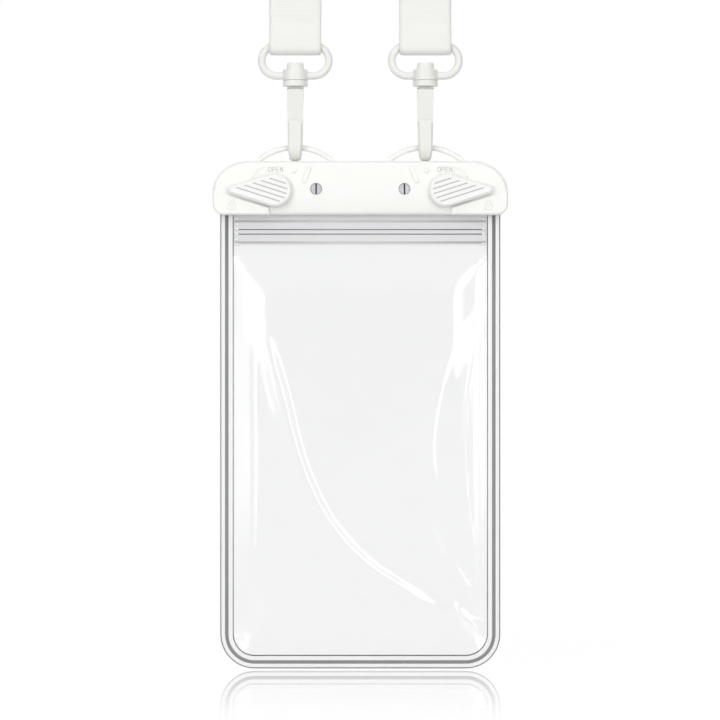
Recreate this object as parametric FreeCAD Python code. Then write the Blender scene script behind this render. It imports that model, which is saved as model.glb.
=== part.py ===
"""Waterproof pouch for a phone: a clear film bag with a press-lock zip, closed at
the top by a hard clamp bar with two turning levers, and hung on a flat neck strap by
two swivelling snap hooks.

Millimetres, +Z up, front towards -Y. The origin is the inner top of the strap's
loop, where the whole thing hangs, and everything is symmetrical about X = 0.
"""
import FreeCAD
import Part
import math
import os

from FreeCAD import Vector

X_AXIS = Vector(1, 0, 0)
Y_AXIS = Vector(0, 1, 0)
Z_AXIS = Vector(0, 0, 1)
HERE = Vector(0, 0, 0)

# Neck strap
STRAP_W = 22.6
STRAP_T = 1.6
STRAND_X = 28.4
TWIST_TOP = -27.6
TWIST_BOTTOM = -79.0
TWIST_STEPS = 6
HEM_RISE = 10.0
HEM_GAP = 0.4
TAIL_L = 16.0

# Rings that the strap is sewn round
RING_TOP = -103.2
RING_W = 32.6
RING_H = 16.6
RING_WIRE = 3.3
EYELET_D = 10.9
EYELET_H = 4.5
EYELET_DROP = 0.3

# Swivel rivets
RIVET_SHANK = 4.2
RIVET_CAP_LOW = 8.0
RIVET_CAP_TOP = 7.0
RIVET_CAP_H = 2.9
RIVET_GRIP = 2.0
SWIVEL_FIT = 0.06
SWIVEL_PLAY = 0.15

# Snap hooks
COLLAR_H = 2.5
HOOK_W_TOP = 7.3
HOOK_W_MID = 6.6
HOOK_W_NOSE = 6.4
HOOK_W_LOW = 5.0
BOW_OUT = 5.9
BOW_IN = 2.8
BOW_T = 4.1
NOSE_H = 11.6
NOSE_BEVEL = 0.9
SPINE_IN = 2.8
HEAD_FRONT = 2.2
HEAD_L = 7.0
HOOK_EDGE = 0.8

# Hook gates
GATE_T = 1.1
GATE_FRONT = 5.2
GATE_TUCK = 4.0
GATE_EAR = 0.9
GATE_SIDE_PLAY = 0.2
GATE_EAR_R = 2.0
PIN_D = 1.8
PIN_Y = 0.6
PIN_DROP = 4.2
PIN_FIT = 0.05

# Eyes on the clamp bar
EYE_DROP = 46.2
EYE_WIRE = 2.4
EYE_R = 25.2
EYE_HALF_ANGLE = 50.0
EYE_FLARE_R = 9.0
EYE_FLARE_T = 1.8

# Clamp bar
CLAMP_OVERHANG = 3.2
CLAMP_DROP = 6.3
CLAMP_H = 23.4
CORNER_ACROSS = 15.7
CORNER_DOWN = 14.0
CORNER_LOW = 5.0
FRONT_Y = 8.0
FRONT_ROLL = 2.0
ROLL_DROP = 11.3
BACK_Y = 6.0
FRONT_EDGE = 2.0
BACK_EDGE = 1.6
FRONT_WALL = 1.6

# Levers
LEVER_INSET = 27.2
LEVER_DROP = 12.7
LEVER_HUB = 7.25
LEVER_REACH = 20.7
LEVER_SLOPE = 17.7
LEVER_TIP = 1.7
LEVER_T = 3.0
LEVER_GAP = 0.35
LEVER_DRAFT = 0.9
GROOVES = 7
GROOVE_PITCH = 2.05
GROOVE_W = 0.5
GROOVE_DEPTH = 0.5
SHAFT_D = 5.2
SHAFT_SQUARE = 3.4
SHAFT_FIT = 0.08
LEVER_SWING = 60.0

# Lever cams and the catches that they hold
CAM_R = 6.6
CAM_NOTCH_R = 4.7
CAM_NOTCH = 48.0
CAM_T = 1.5
CAM_FRONT = 4.5
CATCH_W = 4.0
CATCH_T = 1.6
CATCH_LIP = 2.0
CATCH_GAP = 0.3
CATCH_RISE = 0.9
CHAMBER_ROOM = 0.9
LEVER_SCREW_HEAD = 5.0
LEVER_SCREW_HEAD_H = 1.0
LEVER_SCREW_D = 1.8

# Raised and sunk details on the clamp's face
PLATEAU_H = 0.35
PLATEAU_PAST = 2.3
PLATEAU_GAP = 0.45
PLATEAU_RISE = 1.2
RECESS_R = 11.3
RECESS_DEPTH = 0.5
RECESS_FROM = 112.0
RECESS_TO = 164.0
DOT_IN = 8.4
DOT_DROP = 4.2
DOT_D = 2.6
CAPSULE_IN = (14.6, 12.7)
CAPSULE_DROP = (3.3, 8.5)
CAPSULE_W = 2.3
CAPSULE_H = 0.8
CAPSULE_ROUND = 0.5
DOT_H = 0.6

# Clamp screws
SCREW_IN = 17.9
SCREW_DROP = 12.15
SCREW_HEAD = 4.6
SCREW_HEAD_H = 1.4
SCREW_SUNK = 0.5
SCREW_D = 2.4
SCREW_SLOT = 0.7
SCREW_SLOT_DEPTH = 0.7
SCREW_PLAY = 0.25

# Film pouch
POUCH_HALF = 61.1
POUCH_H = 214.8
POUCH_TUCK = 6.3
POUCH_R = 15.0
FILM_T = 0.5
EDGE_T = 1.6
EDGE_W = 5.5
INNER_R = 9.5
SEAM_IN = 2.84
SEAM_W = 1.6
SEAM_H = 0.25
DISH_DROP = 16.9
DISH_STEPS = ((0.0, 0.0), (3.6, 1.9), (8.6, 3.2), (15.6, 3.8))
DISH_DRAFT = 0.3

# Press-lock zip
ZIP_SIDE = 0.6
ZIP_TUCK = 0.7
ZIP_H = 13.6
ZIP_BASE = 0.35
ZIP_DROPS = (6.2, 8.2)
ZIP_STEM = 0.5
ZIP_HEAD = 0.9
ZIP_HEAD_Y = (0.0, 0.35)
ZIP_LIP = 0.15
ZIP_LIP_Y = (-0.25, -0.05)
ZIP_JAW = 0.35
ZIP_ROOM = 0.03
ZIP_RIB = 0.2
ZIP_RIB_W = 1.9
ZIP_FLANGE = 2.6

# Bar and gasket that close the pouch's mouth inside the clamp
BAR_SIDE = 1.6
BAR_DROP = 7.3
BAR_H = 14.0
BAR_T = 1.1
GASKET_INSET = 2.0
SLOT_ROOM = 0.4

# Heights that hang on one another, from the ring down to the pouch's foot
EYE_Z = RING_TOP - EYE_DROP
CLAMP_TOP = EYE_Z - CLAMP_DROP
CLAMP_BOTTOM = CLAMP_TOP - CLAMP_H
ROLL_TOP = CLAMP_TOP - ROLL_DROP
LEVER_Z = CLAMP_TOP - LEVER_DROP
DOT_Z = CLAMP_TOP - DOT_DROP
CAPSULE_Z = [CLAMP_TOP - drop for drop in CAPSULE_DROP]
SCREW_Z = CLAMP_TOP - SCREW_DROP
POUCH_TOP = CLAMP_TOP - POUCH_TUCK
POUCH_BOTTOM = POUCH_TOP - POUCH_H
DISH_TOP = CLAMP_BOTTOM - DISH_DROP
ZIP_TOP = CLAMP_BOTTOM + ZIP_TUCK
ZIP_BOTTOM = ZIP_TOP - ZIP_H
ZIP_LINES = [CLAMP_BOTTOM - drop for drop in ZIP_DROPS]
BAR_TOP = CLAMP_TOP - BAR_DROP
BAR_BOTTOM = BAR_TOP - BAR_H

# Places that follow from the sizes above
RING_R = RING_H / 2 - RING_WIRE / 2
RING_BAR_Z = RING_TOP - RING_WIRE / 2
RING_LOW_Z = RING_TOP - RING_H + RING_WIRE / 2
RING_STRAIGHT = RING_W / 2 - RING_H / 2
HEM_IN = RING_WIRE / 2 + 0.35
RING_DIP = RING_R - math.sqrt(RING_R ** 2 - (STRAP_W / 2 - RING_STRAIGHT) ** 2)
HEM_Z = RING_BAR_Z - RING_DIP + HEM_IN - RING_WIRE / 2 - HEM_GAP
EYELET_TOP = RING_LOW_Z + EYELET_H / 2 + EYELET_DROP
EYELET_BOTTOM = EYELET_TOP - EYELET_H
COLLAR_TOP = EYELET_BOTTOM - SWIVEL_PLAY
COLLAR_BOTTOM = COLLAR_TOP - COLLAR_H
PIN_Z = COLLAR_BOTTOM - PIN_DROP
NOSE_TOP = EYE_Z + NOSE_H
BOW_IN_Z = EYE_Z - BOW_OUT + BOW_T + BOW_IN
EDGE_HALF = EDGE_T / 2
PARTING_Y = EDGE_HALF + FILM_T
FACE_Y = -FRONT_Y
LEVER_BACK = FACE_Y - LEVER_GAP
WALL_BACK = FACE_Y + FRONT_WALL
INNER_HALF = POUCH_HALF - EDGE_W
ZIP_HALF = INNER_HALF - ZIP_SIDE
BAR_HALF = INNER_HALF - BAR_SIDE
CLAMP_HALF = POUCH_HALF + CLAMP_OVERHANG
LEVER_X = CLAMP_HALF - LEVER_INSET
PLATEAU_END = LEVER_X + PLATEAU_PAST
SCREW_X = LEVER_X - SCREW_IN
DOT_X = LEVER_X - DOT_IN
CAPSULE_TOP = (LEVER_X - CAPSULE_IN[0], CAPSULE_Z[0])
CAPSULE_LOW = (LEVER_X - CAPSULE_IN[1], CAPSULE_Z[1])
INNER_BOTTOM = POUCH_BOTTOM + EDGE_W


def box(x_ends, y_ends, z_ends):
    """A block between two values on each axis."""
    size = [ends[1] - ends[0] for ends in (x_ends, y_ends, z_ends)]
    return Part.makeBox(*size, Vector(x_ends[0], y_ends[0], z_ends[0]))


def rod(place, axis, diameter, length):
    """A cylinder from a place along an axis."""
    return Part.makeCylinder(diameter / 2, length, Vector(*place), axis)


def face(start, steps, place):
    """A closed face; a step is a corner, or an arc's middle and end."""
    edges = []
    here = start
    for step in steps + [start]:
        if isinstance(step[0], tuple):
            middle, end = step
            edges.append(Part.Arc(place(here), place(middle), place(end)).toShape())
        else:
            end = step
            if end != here:
                edges.append(Part.LineSegment(place(here), place(end)).toShape())
        here = end
    return Part.Face(Part.Wire(edges))


def on_front(y):
    """Places (x, z) of an outline seen from the front, at a depth y."""
    return lambda point: Vector(point[0], y, point[1])


def on_side(x):
    """Places (y, z) of an outline seen from the side, at a place x."""
    return lambda point: Vector(x, point[0], point[1])


def across(start, steps, x_ends):
    """An outline seen from the side, drawn out along X."""
    return face(start, steps, on_side(x_ends[0])).extrude(Vector(x_ends[1] - x_ends[0], 0, 0))


def deep(start, steps, y_ends):
    """An outline seen from the front, drawn out along Y."""
    return face(start, steps, on_front(y_ends[0])).extrude(Vector(0, y_ends[1] - y_ends[0], 0))


def turned(x, z, angle, length):
    """The place at an angle and distance from (x, z), seen from the front."""
    spin = math.radians(angle)
    return (x + length * math.cos(spin), z + length * math.sin(spin))


def mirrored(shape):
    """The same piece on the other side of X = 0."""
    return shape.mirror(HERE, X_AXIS)


def neck_strap():
    """A flat webbing loop whose two ends are hemmed round the rings."""
    half_t = STRAP_T / 2
    hem_top = HEM_Z + HEM_RISE
    out = HEM_IN + STRAP_T
    left = (-STRAND_X - STRAP_W / 2, -STRAND_X + STRAP_W / 2)
    fold = across((-out, HEM_Z), [((0, HEM_Z - out), (out, HEM_Z)), (HEM_IN, HEM_Z),
                                  ((0, HEM_Z - HEM_IN), (-HEM_IN, HEM_Z))], left)
    front_leg = across((-out, HEM_Z), [(-HEM_IN, HEM_Z), (half_t, hem_top), (-half_t, hem_top)], left)
    back_leg = across((HEM_IN, HEM_Z), [(out, HEM_Z), (half_t + STRAP_T, hem_top), (half_t, hem_top)], left)
    tail = box(left, (half_t, half_t + STRAP_T), (hem_top, hem_top + TAIL_L))
    strand = box(left, (-half_t, half_t), (hem_top, TWIST_BOTTOM))
    half = front_leg.multiFuse([fold, back_leg, tail, strand, twist()])
    arch = Part.makeCylinder(STRAND_X + half_t, STRAP_W, Vector(0, -STRAP_W / 2, TWIST_TOP), Y_AXIS)
    hollow = Part.makeCylinder(STRAND_X - half_t, STRAP_W, Vector(0, -STRAP_W / 2, TWIST_TOP), Y_AXIS)
    over = box((-STRAP_W * 2, STRAP_W * 2), (-STRAP_W, STRAP_W), (TWIST_TOP, STRAP_W))
    return arch.cut(hollow).common(over).multiFuse([half, mirrored(half)]).removeSplitter()


def twist():
    """The quarter turn that each strand makes below the arch."""
    sections = []
    for step in range(TWIST_STEPS + 1):
        share = step / TWIST_STEPS
        z = TWIST_BOTTOM + (TWIST_TOP - TWIST_BOTTOM) * share
        corners = [(-STRAP_W / 2, -STRAP_T / 2), (STRAP_W / 2, -STRAP_T / 2),
                   (STRAP_W / 2, STRAP_T / 2), (-STRAP_W / 2, STRAP_T / 2)]
        wire = Part.makePolygon([Vector(x, y, 0) for x, y in corners + corners[:1]])
        wire.rotate(HERE, Z_AXIS, 90 * share)
        wire.translate(Vector(-STRAND_X, 0, z))
        sections.append(wire)
    return Part.makeLoft(sections, True, True)


def ring():
    """The left wire ring with the eyelet that the hook swivels in."""
    centre = (RING_BAR_Z + RING_LOW_Z) / 2
    left, right = -STRAND_X - RING_STRAIGHT, -STRAND_X + RING_STRAIGHT
    place = on_front(0)
    path = Part.Wire([
        Part.LineSegment(place((left, RING_BAR_Z)), place((right, RING_BAR_Z))).toShape(),
        Part.Arc(place((right, RING_BAR_Z)), place((right + RING_R, centre)),
                 place((right, RING_LOW_Z))).toShape(),
        Part.LineSegment(place((right, RING_LOW_Z)), place((left, RING_LOW_Z))).toShape(),
        Part.Arc(place((left, RING_LOW_Z)), place((left - RING_R, centre)),
                 place((left, RING_BAR_Z))).toShape()])
    section = Part.Wire(Part.makeCircle(RING_WIRE / 2, place((left, RING_BAR_Z)), X_AXIS))
    wire = path.makePipeShell([section], True, True)
    eyelet = rod((-STRAND_X, 0, EYELET_BOTTOM), Z_AXIS, EYELET_D, EYELET_H)
    bore = rod((-STRAND_X, 0, EYELET_BOTTOM), Z_AXIS, RIVET_SHANK + 2 * SWIVEL_FIT, EYELET_H)
    return wire.fuse(eyelet).cut(bore)


def swivel_rivet():
    """The rivet that holds the left hook up in its ring."""
    low = EYELET_TOP + SWIVEL_PLAY
    cap = Part.makeCone(RIVET_CAP_LOW / 2, RIVET_CAP_TOP / 2, RIVET_CAP_H, Vector(-STRAND_X, 0, low))
    shank_z = COLLAR_TOP - RIVET_GRIP
    return cap.fuse(rod((-STRAND_X, 0, shank_z), Z_AXIS, RIVET_SHANK, low - shank_z)).removeSplitter()


def hook_body():
    """The left hook: collar, head, spine, bow and nose in one casting."""
    low = EYE_Z - BOW_OUT
    head_low = COLLAR_BOTTOM - HEAD_L
    spine_top = BOW_OUT - 1.1
    side = ((-HEAD_FRONT, COLLAR_BOTTOM), [
        (-HEAD_FRONT, head_low + 1.2), (-HEAD_FRONT + 1.2, head_low), (0.4, head_low),
        ((1.9, head_low - 0.9), (SPINE_IN, head_low - 3.0)),
        (BOW_IN, BOW_IN_Z), ((0, BOW_IN_Z - BOW_IN), (-BOW_IN, BOW_IN_Z)),
        (-BOW_IN, NOSE_TOP - 1.3), (-BOW_IN - NOSE_BEVEL, NOSE_TOP), (-BOW_OUT + 1.0, NOSE_TOP),
        (-BOW_OUT, NOSE_TOP - 1.4), (-BOW_OUT, EYE_Z), ((0, low), (BOW_OUT, EYE_Z)),
        (BOW_OUT, head_low - 4.0), (spine_top, COLLAR_BOTTOM)])
    body = across(*side, (-STRAND_X - HOOK_W_TOP / 2, -STRAND_X + HOOK_W_TOP / 2))
    widths = ((COLLAR_BOTTOM, HOOK_W_TOP), (NOSE_TOP, HOOK_W_MID), (EYE_Z + 3.0, HOOK_W_NOSE),
              (EYE_Z - 3.0, HOOK_W_LOW + 0.8), (low, HOOK_W_LOW - 0.4))
    rim = [(-STRAND_X - width / 2, z) for z, width in widths]
    rim += [(-STRAND_X + width / 2, z) for z, width in reversed(widths)]
    body = body.common(deep(rim[0], rim[1:], (-BOW_OUT * 2, BOW_OUT * 2)))
    body = body.makeChamfer(HOOK_EDGE, outer_edges(body, low))
    for side_x in (-1, 1):
        inner = -STRAND_X + side_x * (HOOK_W_TOP / 2 - GATE_EAR - GATE_SIDE_PLAY)
        outer = -STRAND_X + side_x * HOOK_W_TOP
        notch = box(sorted((inner, outer)), (-BOW_OUT * 2, SPINE_IN + 0.1),
                    (head_low - 5.0, COLLAR_BOTTOM - 1.0))
        body = body.cut(notch)
    collar = rod((-STRAND_X, 0, COLLAR_BOTTOM), Z_AXIS, EYELET_D, COLLAR_H)
    body = body.fuse(collar).removeSplitter()
    body = body.cut(rod((-STRAND_X, 0, COLLAR_TOP - RIVET_GRIP), Z_AXIS, RIVET_SHANK, RIVET_GRIP))
    return body.cut(gate_axle(PIN_D))


def outer_edges(body, low):
    """The long outer edges of the bow and nose, which are bevelled."""
    chosen = []
    for edge in body.Edges:
        middle = edge.CenterOfMass
        along_x = abs(edge.tangentAt(edge.FirstParameter).x) > 0.9
        outside = abs(middle.y) > BOW_OUT - 0.3 or middle.z < EYE_Z - BOW_OUT * 0.5
        inside = abs(middle.y) < BOW_IN + 0.4 and middle.z > low + BOW_T * 0.8
        if outside and not inside and not along_x:
            chosen.append(edge)
    return chosen


def gate_axle(diameter):
    """A rod through the left hook's head on the gate's pivot line."""
    place = (-STRAND_X - HOOK_W_TOP / 2, PIN_Y, PIN_Z)
    return rod(place, X_AXIS, diameter, HOOK_W_TOP)


def gate():
    """The left gate: a plate whose tip tucks behind the nose, with two ears."""
    tip_z = NOSE_TOP - GATE_TUCK
    tip_front = -BOW_IN + 0.2
    top_z = COLLAR_BOTTOM - 1.6
    bend_z = NOSE_TOP - 1.4
    x_ends = (-STRAND_X - HOOK_W_TOP / 2, -STRAND_X + HOOK_W_TOP / 2)
    near = -BOW_IN - 0.35
    plate = across((-GATE_FRONT, top_z), [
        (near, NOSE_TOP + 0.4), (tip_front, bend_z), (tip_front, tip_z),
        (tip_front + GATE_T, tip_z), (tip_front + GATE_T, bend_z + 0.3),
        (near + GATE_T, NOSE_TOP + 0.7), (-GATE_FRONT + GATE_T, top_z)], x_ends)
    ear_low = PIN_Z - 6.0
    slope = (near + GATE_FRONT) / (top_z - NOSE_TOP - 0.4)
    low_front = -GATE_FRONT + slope * (top_z - ear_low)
    ears = across((-GATE_FRONT, top_z), [
        (low_front, ear_low), (low_front + 1.8, ear_low), (PIN_Y + GATE_EAR_R * 0.8, PIN_Z - GATE_EAR_R * 0.6),
        ((PIN_Y + GATE_EAR_R, PIN_Z), (PIN_Y, PIN_Z + GATE_EAR_R))], x_ends)
    channel = box((-STRAND_X - HOOK_W_TOP / 2 + GATE_EAR, -STRAND_X + HOOK_W_TOP / 2 - GATE_EAR),
                  (-BOW_OUT * 2, BOW_OUT * 2), (ear_low - 1, top_z + 3))
    body = ears.cut(channel).fuse(plate).removeSplitter()
    half_low = HOOK_W_MID / 2
    half_top = HOOK_W_TOP / 2
    rim = deep((-STRAND_X - half_top, top_z + 3), [
        (-STRAND_X - half_low, tip_z), (-STRAND_X + half_low, tip_z), (-STRAND_X + half_top, top_z + 3)],
        (-BOW_OUT * 2, BOW_OUT * 2))
    return body.common(rim).cut(gate_axle(PIN_D + 2 * PIN_FIT))


def clamp_face(y):
    """The clamp bar's outline seen from the front."""
    place = on_front(y)
    corner_x = CLAMP_HALF - CORNER_ACROSS
    corner_z = CLAMP_TOP - CORNER_DOWN
    low_x = CLAMP_HALF - CORNER_LOW
    low_z = CLAMP_BOTTOM + CORNER_LOW
    give = CORNER_LOW * math.sqrt(0.5)
    right = Part.ArcOfEllipse(Part.Ellipse(
        place((CLAMP_HALF, corner_z)), place((corner_x, CLAMP_TOP)), place((corner_x, corner_z))),
        0, math.pi / 2).toShape()
    left = right.mirror(HERE, X_AXIS)
    lower = [Part.LineSegment(place((side * CLAMP_HALF, corner_z)), place((side * CLAMP_HALF, low_z))).toShape()
             for side in (-1, 1)]
    bends = [Part.Arc(place((side * CLAMP_HALF, low_z)), place((side * (low_x + give), low_z - give)),
                      place((side * low_x, CLAMP_BOTTOM))).toShape() for side in (-1, 1)]
    top = Part.LineSegment(place((-corner_x, CLAMP_TOP)), place((corner_x, CLAMP_TOP))).toShape()
    foot = Part.LineSegment(place((-low_x, CLAMP_BOTTOM)), place((low_x, CLAMP_BOTTOM))).toShape()
    edges = Part.__sortEdges__([right, left, top, foot] + lower + bends)
    return Part.Face(Part.Wire(edges))


def rim_edges(shape, depth):
    """The outline edges of a shape whose points lie within a depth of its face."""
    return [edge for edge in shape.Edges if all(depth(point) for point in edge.discretize(5))]


def roll_y(z):
    """How far forward the clamp's face stands at a height."""
    if z >= ROLL_TOP:
        return FACE_Y
    return FACE_Y + FRONT_ROLL * ((ROLL_TOP - z) / (ROLL_TOP - CLAMP_BOTTOM)) ** 2


def front_blank():
    """The front shell's rolled block before its pockets."""
    block = clamp_face(-PARTING_Y).extrude(Vector(0, -FRONT_Y, 0))
    middle_z = (ROLL_TOP + CLAMP_BOTTOM) / 2
    above = CLAMP_TOP + 1
    rolled = across((FACE_Y, above), [
        (FACE_Y, ROLL_TOP), ((roll_y(middle_z), middle_z), (roll_y(CLAMP_BOTTOM), CLAMP_BOTTOM)),
        (-PARTING_Y, CLAMP_BOTTOM), (-PARTING_Y, above)], (-CLAMP_HALF - 1, CLAMP_HALF + 1))
    block = block.common(rolled)
    front = rim_edges(block, lambda point: abs(point.y - roll_y(point.z)) < 0.15 and on_rim(point))
    return block.makeFillet(FRONT_EDGE, front)


def on_rim(point):
    """Whether a point lies on the clamp's outline."""
    return clamp_face(point.y).Wires[0].distToShape(Part.Vertex(point))[0] < 0.01


def lever_arm_side(gap):
    """Two places along the lower edge of the left lever, moved down by a gap."""
    toe = turned(-LEVER_X, LEVER_Z, -90 - LEVER_SLOPE, LEVER_HUB + gap)
    reach = LEVER_REACH + 3
    return toe, (toe[0] - reach * math.cos(math.radians(LEVER_SLOPE)),
                 toe[1] + reach * math.sin(math.radians(LEVER_SLOPE)))


def plateau():
    """The raised lower corner that the left lever rests against when locked."""
    toe, far = lever_arm_side(PLATEAU_GAP)
    slope = (far[1] - toe[1]) / (far[0] - toe[0])
    end_z = toe[1] + slope * (-PLATEAU_END - toe[0])
    rest_z = CLAMP_TOP - CORNER_DOWN + PLATEAU_RISE
    rest_x = toe[0] + (rest_z - toe[1]) / slope
    wedge = deep((-PLATEAU_END, end_z), [
        (rest_x, rest_z), (-CLAMP_HALF - 1, rest_z), (-CLAMP_HALF - 1, CLAMP_BOTTOM),
        (-PLATEAU_END, CLAMP_BOTTOM)],
        (-PARTING_Y - FRONT_WALL, FACE_Y - PLATEAU_H))
    inside = clamp_face(-PARTING_Y).extrude(Vector(0, -FRONT_Y, 0))
    corner = inside.common(wedge)
    front = [edge for edge in corner.Edges
             if all(abs(point.y - FACE_Y + PLATEAU_H) < 0.01 for point in edge.discretize(3))]
    return corner.makeChamfer(PLATEAU_H * 2, front)


def face_details():
    """The raised dome and capsule beside the left lever."""
    dome_r = ((DOT_D / 2) ** 2 + DOT_H ** 2) / (2 * DOT_H)
    dome = Part.makeSphere(dome_r, Vector(-DOT_X, FACE_Y - DOT_H + dome_r, DOT_Z))
    dome = dome.common(box((-DOT_X - DOT_D, -DOT_X + DOT_D), (FACE_Y - 1, FACE_Y + 0.2),
                           (DOT_Z - DOT_D, DOT_Z + DOT_D)))
    half = CAPSULE_W / 2
    ends = [rod((-x, FACE_Y + 0.2, z), -Y_AXIS, CAPSULE_W, CAPSULE_H + 0.2) for x, z in (CAPSULE_TOP, CAPSULE_LOW)]
    run_x, run_z = CAPSULE_TOP[0] - CAPSULE_LOW[0], CAPSULE_TOP[1] - CAPSULE_LOW[1]
    length = math.hypot(run_x, run_z)
    off_x, off_z = half * run_z / length, half * run_x / length
    bar = deep((-CAPSULE_TOP[0] - off_x, CAPSULE_TOP[1] - off_z), [
        (-CAPSULE_TOP[0] + off_x, CAPSULE_TOP[1] + off_z), (-CAPSULE_LOW[0] + off_x, CAPSULE_LOW[1] + off_z),
        (-CAPSULE_LOW[0] - off_x, CAPSULE_LOW[1] - off_z)], (FACE_Y + 0.2, FACE_Y - CAPSULE_H))
    capsule = ends[0].multiFuse([ends[1], bar]).removeSplitter()
    front = [edge for edge in capsule.Edges
             if all(abs(point.y - FACE_Y + CAPSULE_H) < 0.01 for point in edge.discretize(3))]
    capsule = capsule.makeFillet(CAPSULE_ROUND, front)
    return [dome, capsule]


def swing_recess():
    """The shallow sector beside the left lever, at the edge of its swing."""
    middle = (RECESS_FROM + RECESS_TO) / 2
    hub = (-LEVER_X, LEVER_Z)
    places = [turned(*hub, angle, RECESS_R) for angle in (RECESS_FROM, middle, RECESS_TO)]
    return deep(hub, [places[0], (places[1], places[2])], (FACE_Y - 1, FACE_Y + RECESS_DEPTH))


def lever_chamber():
    """The room behind the left lever for its cam and catch."""
    depth = WALL_BACK - -PARTING_Y
    room = rod((-LEVER_X, -PARTING_Y, LEVER_Z), -Y_AXIS, 2 * (CAM_R + CHAMBER_ROOM), -depth)
    catch_top = LEVER_Z + CAM_R + CATCH_RISE + CATCH_T
    slot = box((-LEVER_X - CATCH_W / 2 - CHAMBER_ROOM, -LEVER_X + CATCH_W / 2 + CHAMBER_ROOM),
               (WALL_BACK, -PARTING_Y), (LEVER_Z, catch_top + CATCH_GAP))
    bore = rod((-LEVER_X, WALL_BACK, LEVER_Z), -Y_AXIS, SHAFT_D + 2 * SHAFT_FIT, FRONT_WALL * 2)
    return room.multiFuse([slot, bore])


def screw_seat():
    """The sunk seat and the hole for the left clamp screw."""
    seat_y = FACE_Y + SCREW_SUNK + SCREW_HEAD_H
    seat = rod((-SCREW_X, seat_y, SCREW_Z), -Y_AXIS, SCREW_HEAD + 2 * SCREW_PLAY, SCREW_SUNK + SCREW_HEAD_H + 1)
    hole = rod((-SCREW_X, PARTING_Y, SCREW_Z), -Y_AXIS, SCREW_D + 2 * SCREW_PLAY, PARTING_Y + FRONT_Y)
    return seat.fuse(hole)


def front_clamp_shell():
    """The moulded front half of the clamp bar."""
    body = front_blank()
    added = [plateau(), mirrored(plateau())]
    for detail in face_details():
        added += [detail, mirrored(detail)]
    body = body.multiFuse(added)
    for tool in (swing_recess(), lever_chamber(), screw_seat()):
        body = body.cut(tool).cut(mirrored(tool))
    core = box((-SCREW_X + SCREW_HEAD, SCREW_X - SCREW_HEAD), (WALL_BACK, -PARTING_Y),
               (SCREW_Z - 3, CLAMP_TOP - FRONT_WALL * 2))
    return body.cut(core)


def eye():
    """The left arched eye that the hook is clipped to."""
    centre = Vector(-STRAND_X, 0, EYE_Z - EYE_R)
    section = Part.Face(Part.Wire(Part.makeCircle(EYE_WIRE / 2, Vector(-STRAND_X, 0, EYE_Z), X_AXIS)))
    section.rotate(centre, Y_AXIS, -EYE_HALF_ANGLE)
    return section.revolve(centre, Y_AXIS, 2 * EYE_HALF_ANGLE)


def eye_flare(side):
    """The web that widens one foot of the left eye where it meets the clamp's top."""
    rise = CLAMP_TOP - (EYE_Z - EYE_R)
    outer = EYE_R + EYE_WIRE / 2
    up = rise + EYE_FLARE_R
    out = math.sqrt((outer + EYE_FLARE_R) ** 2 - up ** 2)
    lean = math.degrees(math.atan2(-up, -out))
    middle = turned(out, up, (lean - 90) / 2, EYE_FLARE_R)
    touch = turned(0, 0, lean + 180, outer)
    inside = turned(0, 0, lean + 180, EYE_R)

    def place(point):
        return Vector(-STRAND_X + side * point[0], -EYE_FLARE_T / 2, EYE_Z - EYE_R + point[1])

    outline = face(inside, [touch, (middle, (out, rise)), (out, rise - 1), (inside[0], rise - 1)], place)
    return outline.extrude(Vector(0, EYE_FLARE_T, 0))


def catch():
    """The left catch: an arm from the back shell with a lip over the cam."""
    low = LEVER_Z + CAM_R + CATCH_RISE
    lip_back = -CAM_FRONT - CATCH_GAP
    lip_front = lip_back - CATCH_T * 0.8
    x_ends = (-LEVER_X - CATCH_W / 2, -LEVER_X + CATCH_W / 2)
    return across((-PARTING_Y + 0.5, low + CATCH_T), [
        (lip_front, low + CATCH_T), (lip_front, low - CATCH_LIP), (lip_back, low - CATCH_LIP),
        (lip_back, low), (-PARTING_Y + 0.5, low)], x_ends)


def back_clamp_shell():
    """The back half of the clamp bar, with the eyes and the catches."""
    body = clamp_face(-PARTING_Y).extrude(Vector(0, BACK_Y + PARTING_Y, 0))
    back = rim_edges(body, lambda point: abs(point.y - BACK_Y) < 0.01)
    body = body.makeFillet(BACK_EDGE, back)
    side = POUCH_HALF + SLOT_ROOM
    body = body.cut(box((-side, side), (-PARTING_Y, PARTING_Y), (CLAMP_BOTTOM, POUCH_TOP + SLOT_ROOM)))
    added = []
    for piece in (eye(), eye_flare(-1), eye_flare(1), catch()):
        added += [piece, mirrored(piece)]
    return body.multiFuse(added).removeSplitter()


def inner_clamp_bar():
    """The flat bar inside the pouch's mouth that the two screws pull forward."""
    bar = box((-BAR_HALF, BAR_HALF), (-EDGE_HALF, -EDGE_HALF + BAR_T), (BAR_BOTTOM, BAR_TOP))
    corners = [edge for edge in bar.Edges if abs(edge.tangentAt(edge.FirstParameter).y) > 0.9]
    bar = bar.makeFillet(BAR_T * 2, corners)
    hole = rod((-SCREW_X, -EDGE_HALF, SCREW_Z), Y_AXIS, SCREW_D, BAR_T)
    return bar.cut(hole).cut(mirrored(hole))


def clamp_gasket():
    """The soft strip behind the inner bar that seals the pouch's mouth."""
    half = BAR_HALF - GASKET_INSET
    return box((-half, half), (-EDGE_HALF + BAR_T, EDGE_HALF), (BAR_BOTTOM + GASKET_INSET, BAR_TOP - GASKET_INSET))


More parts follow.
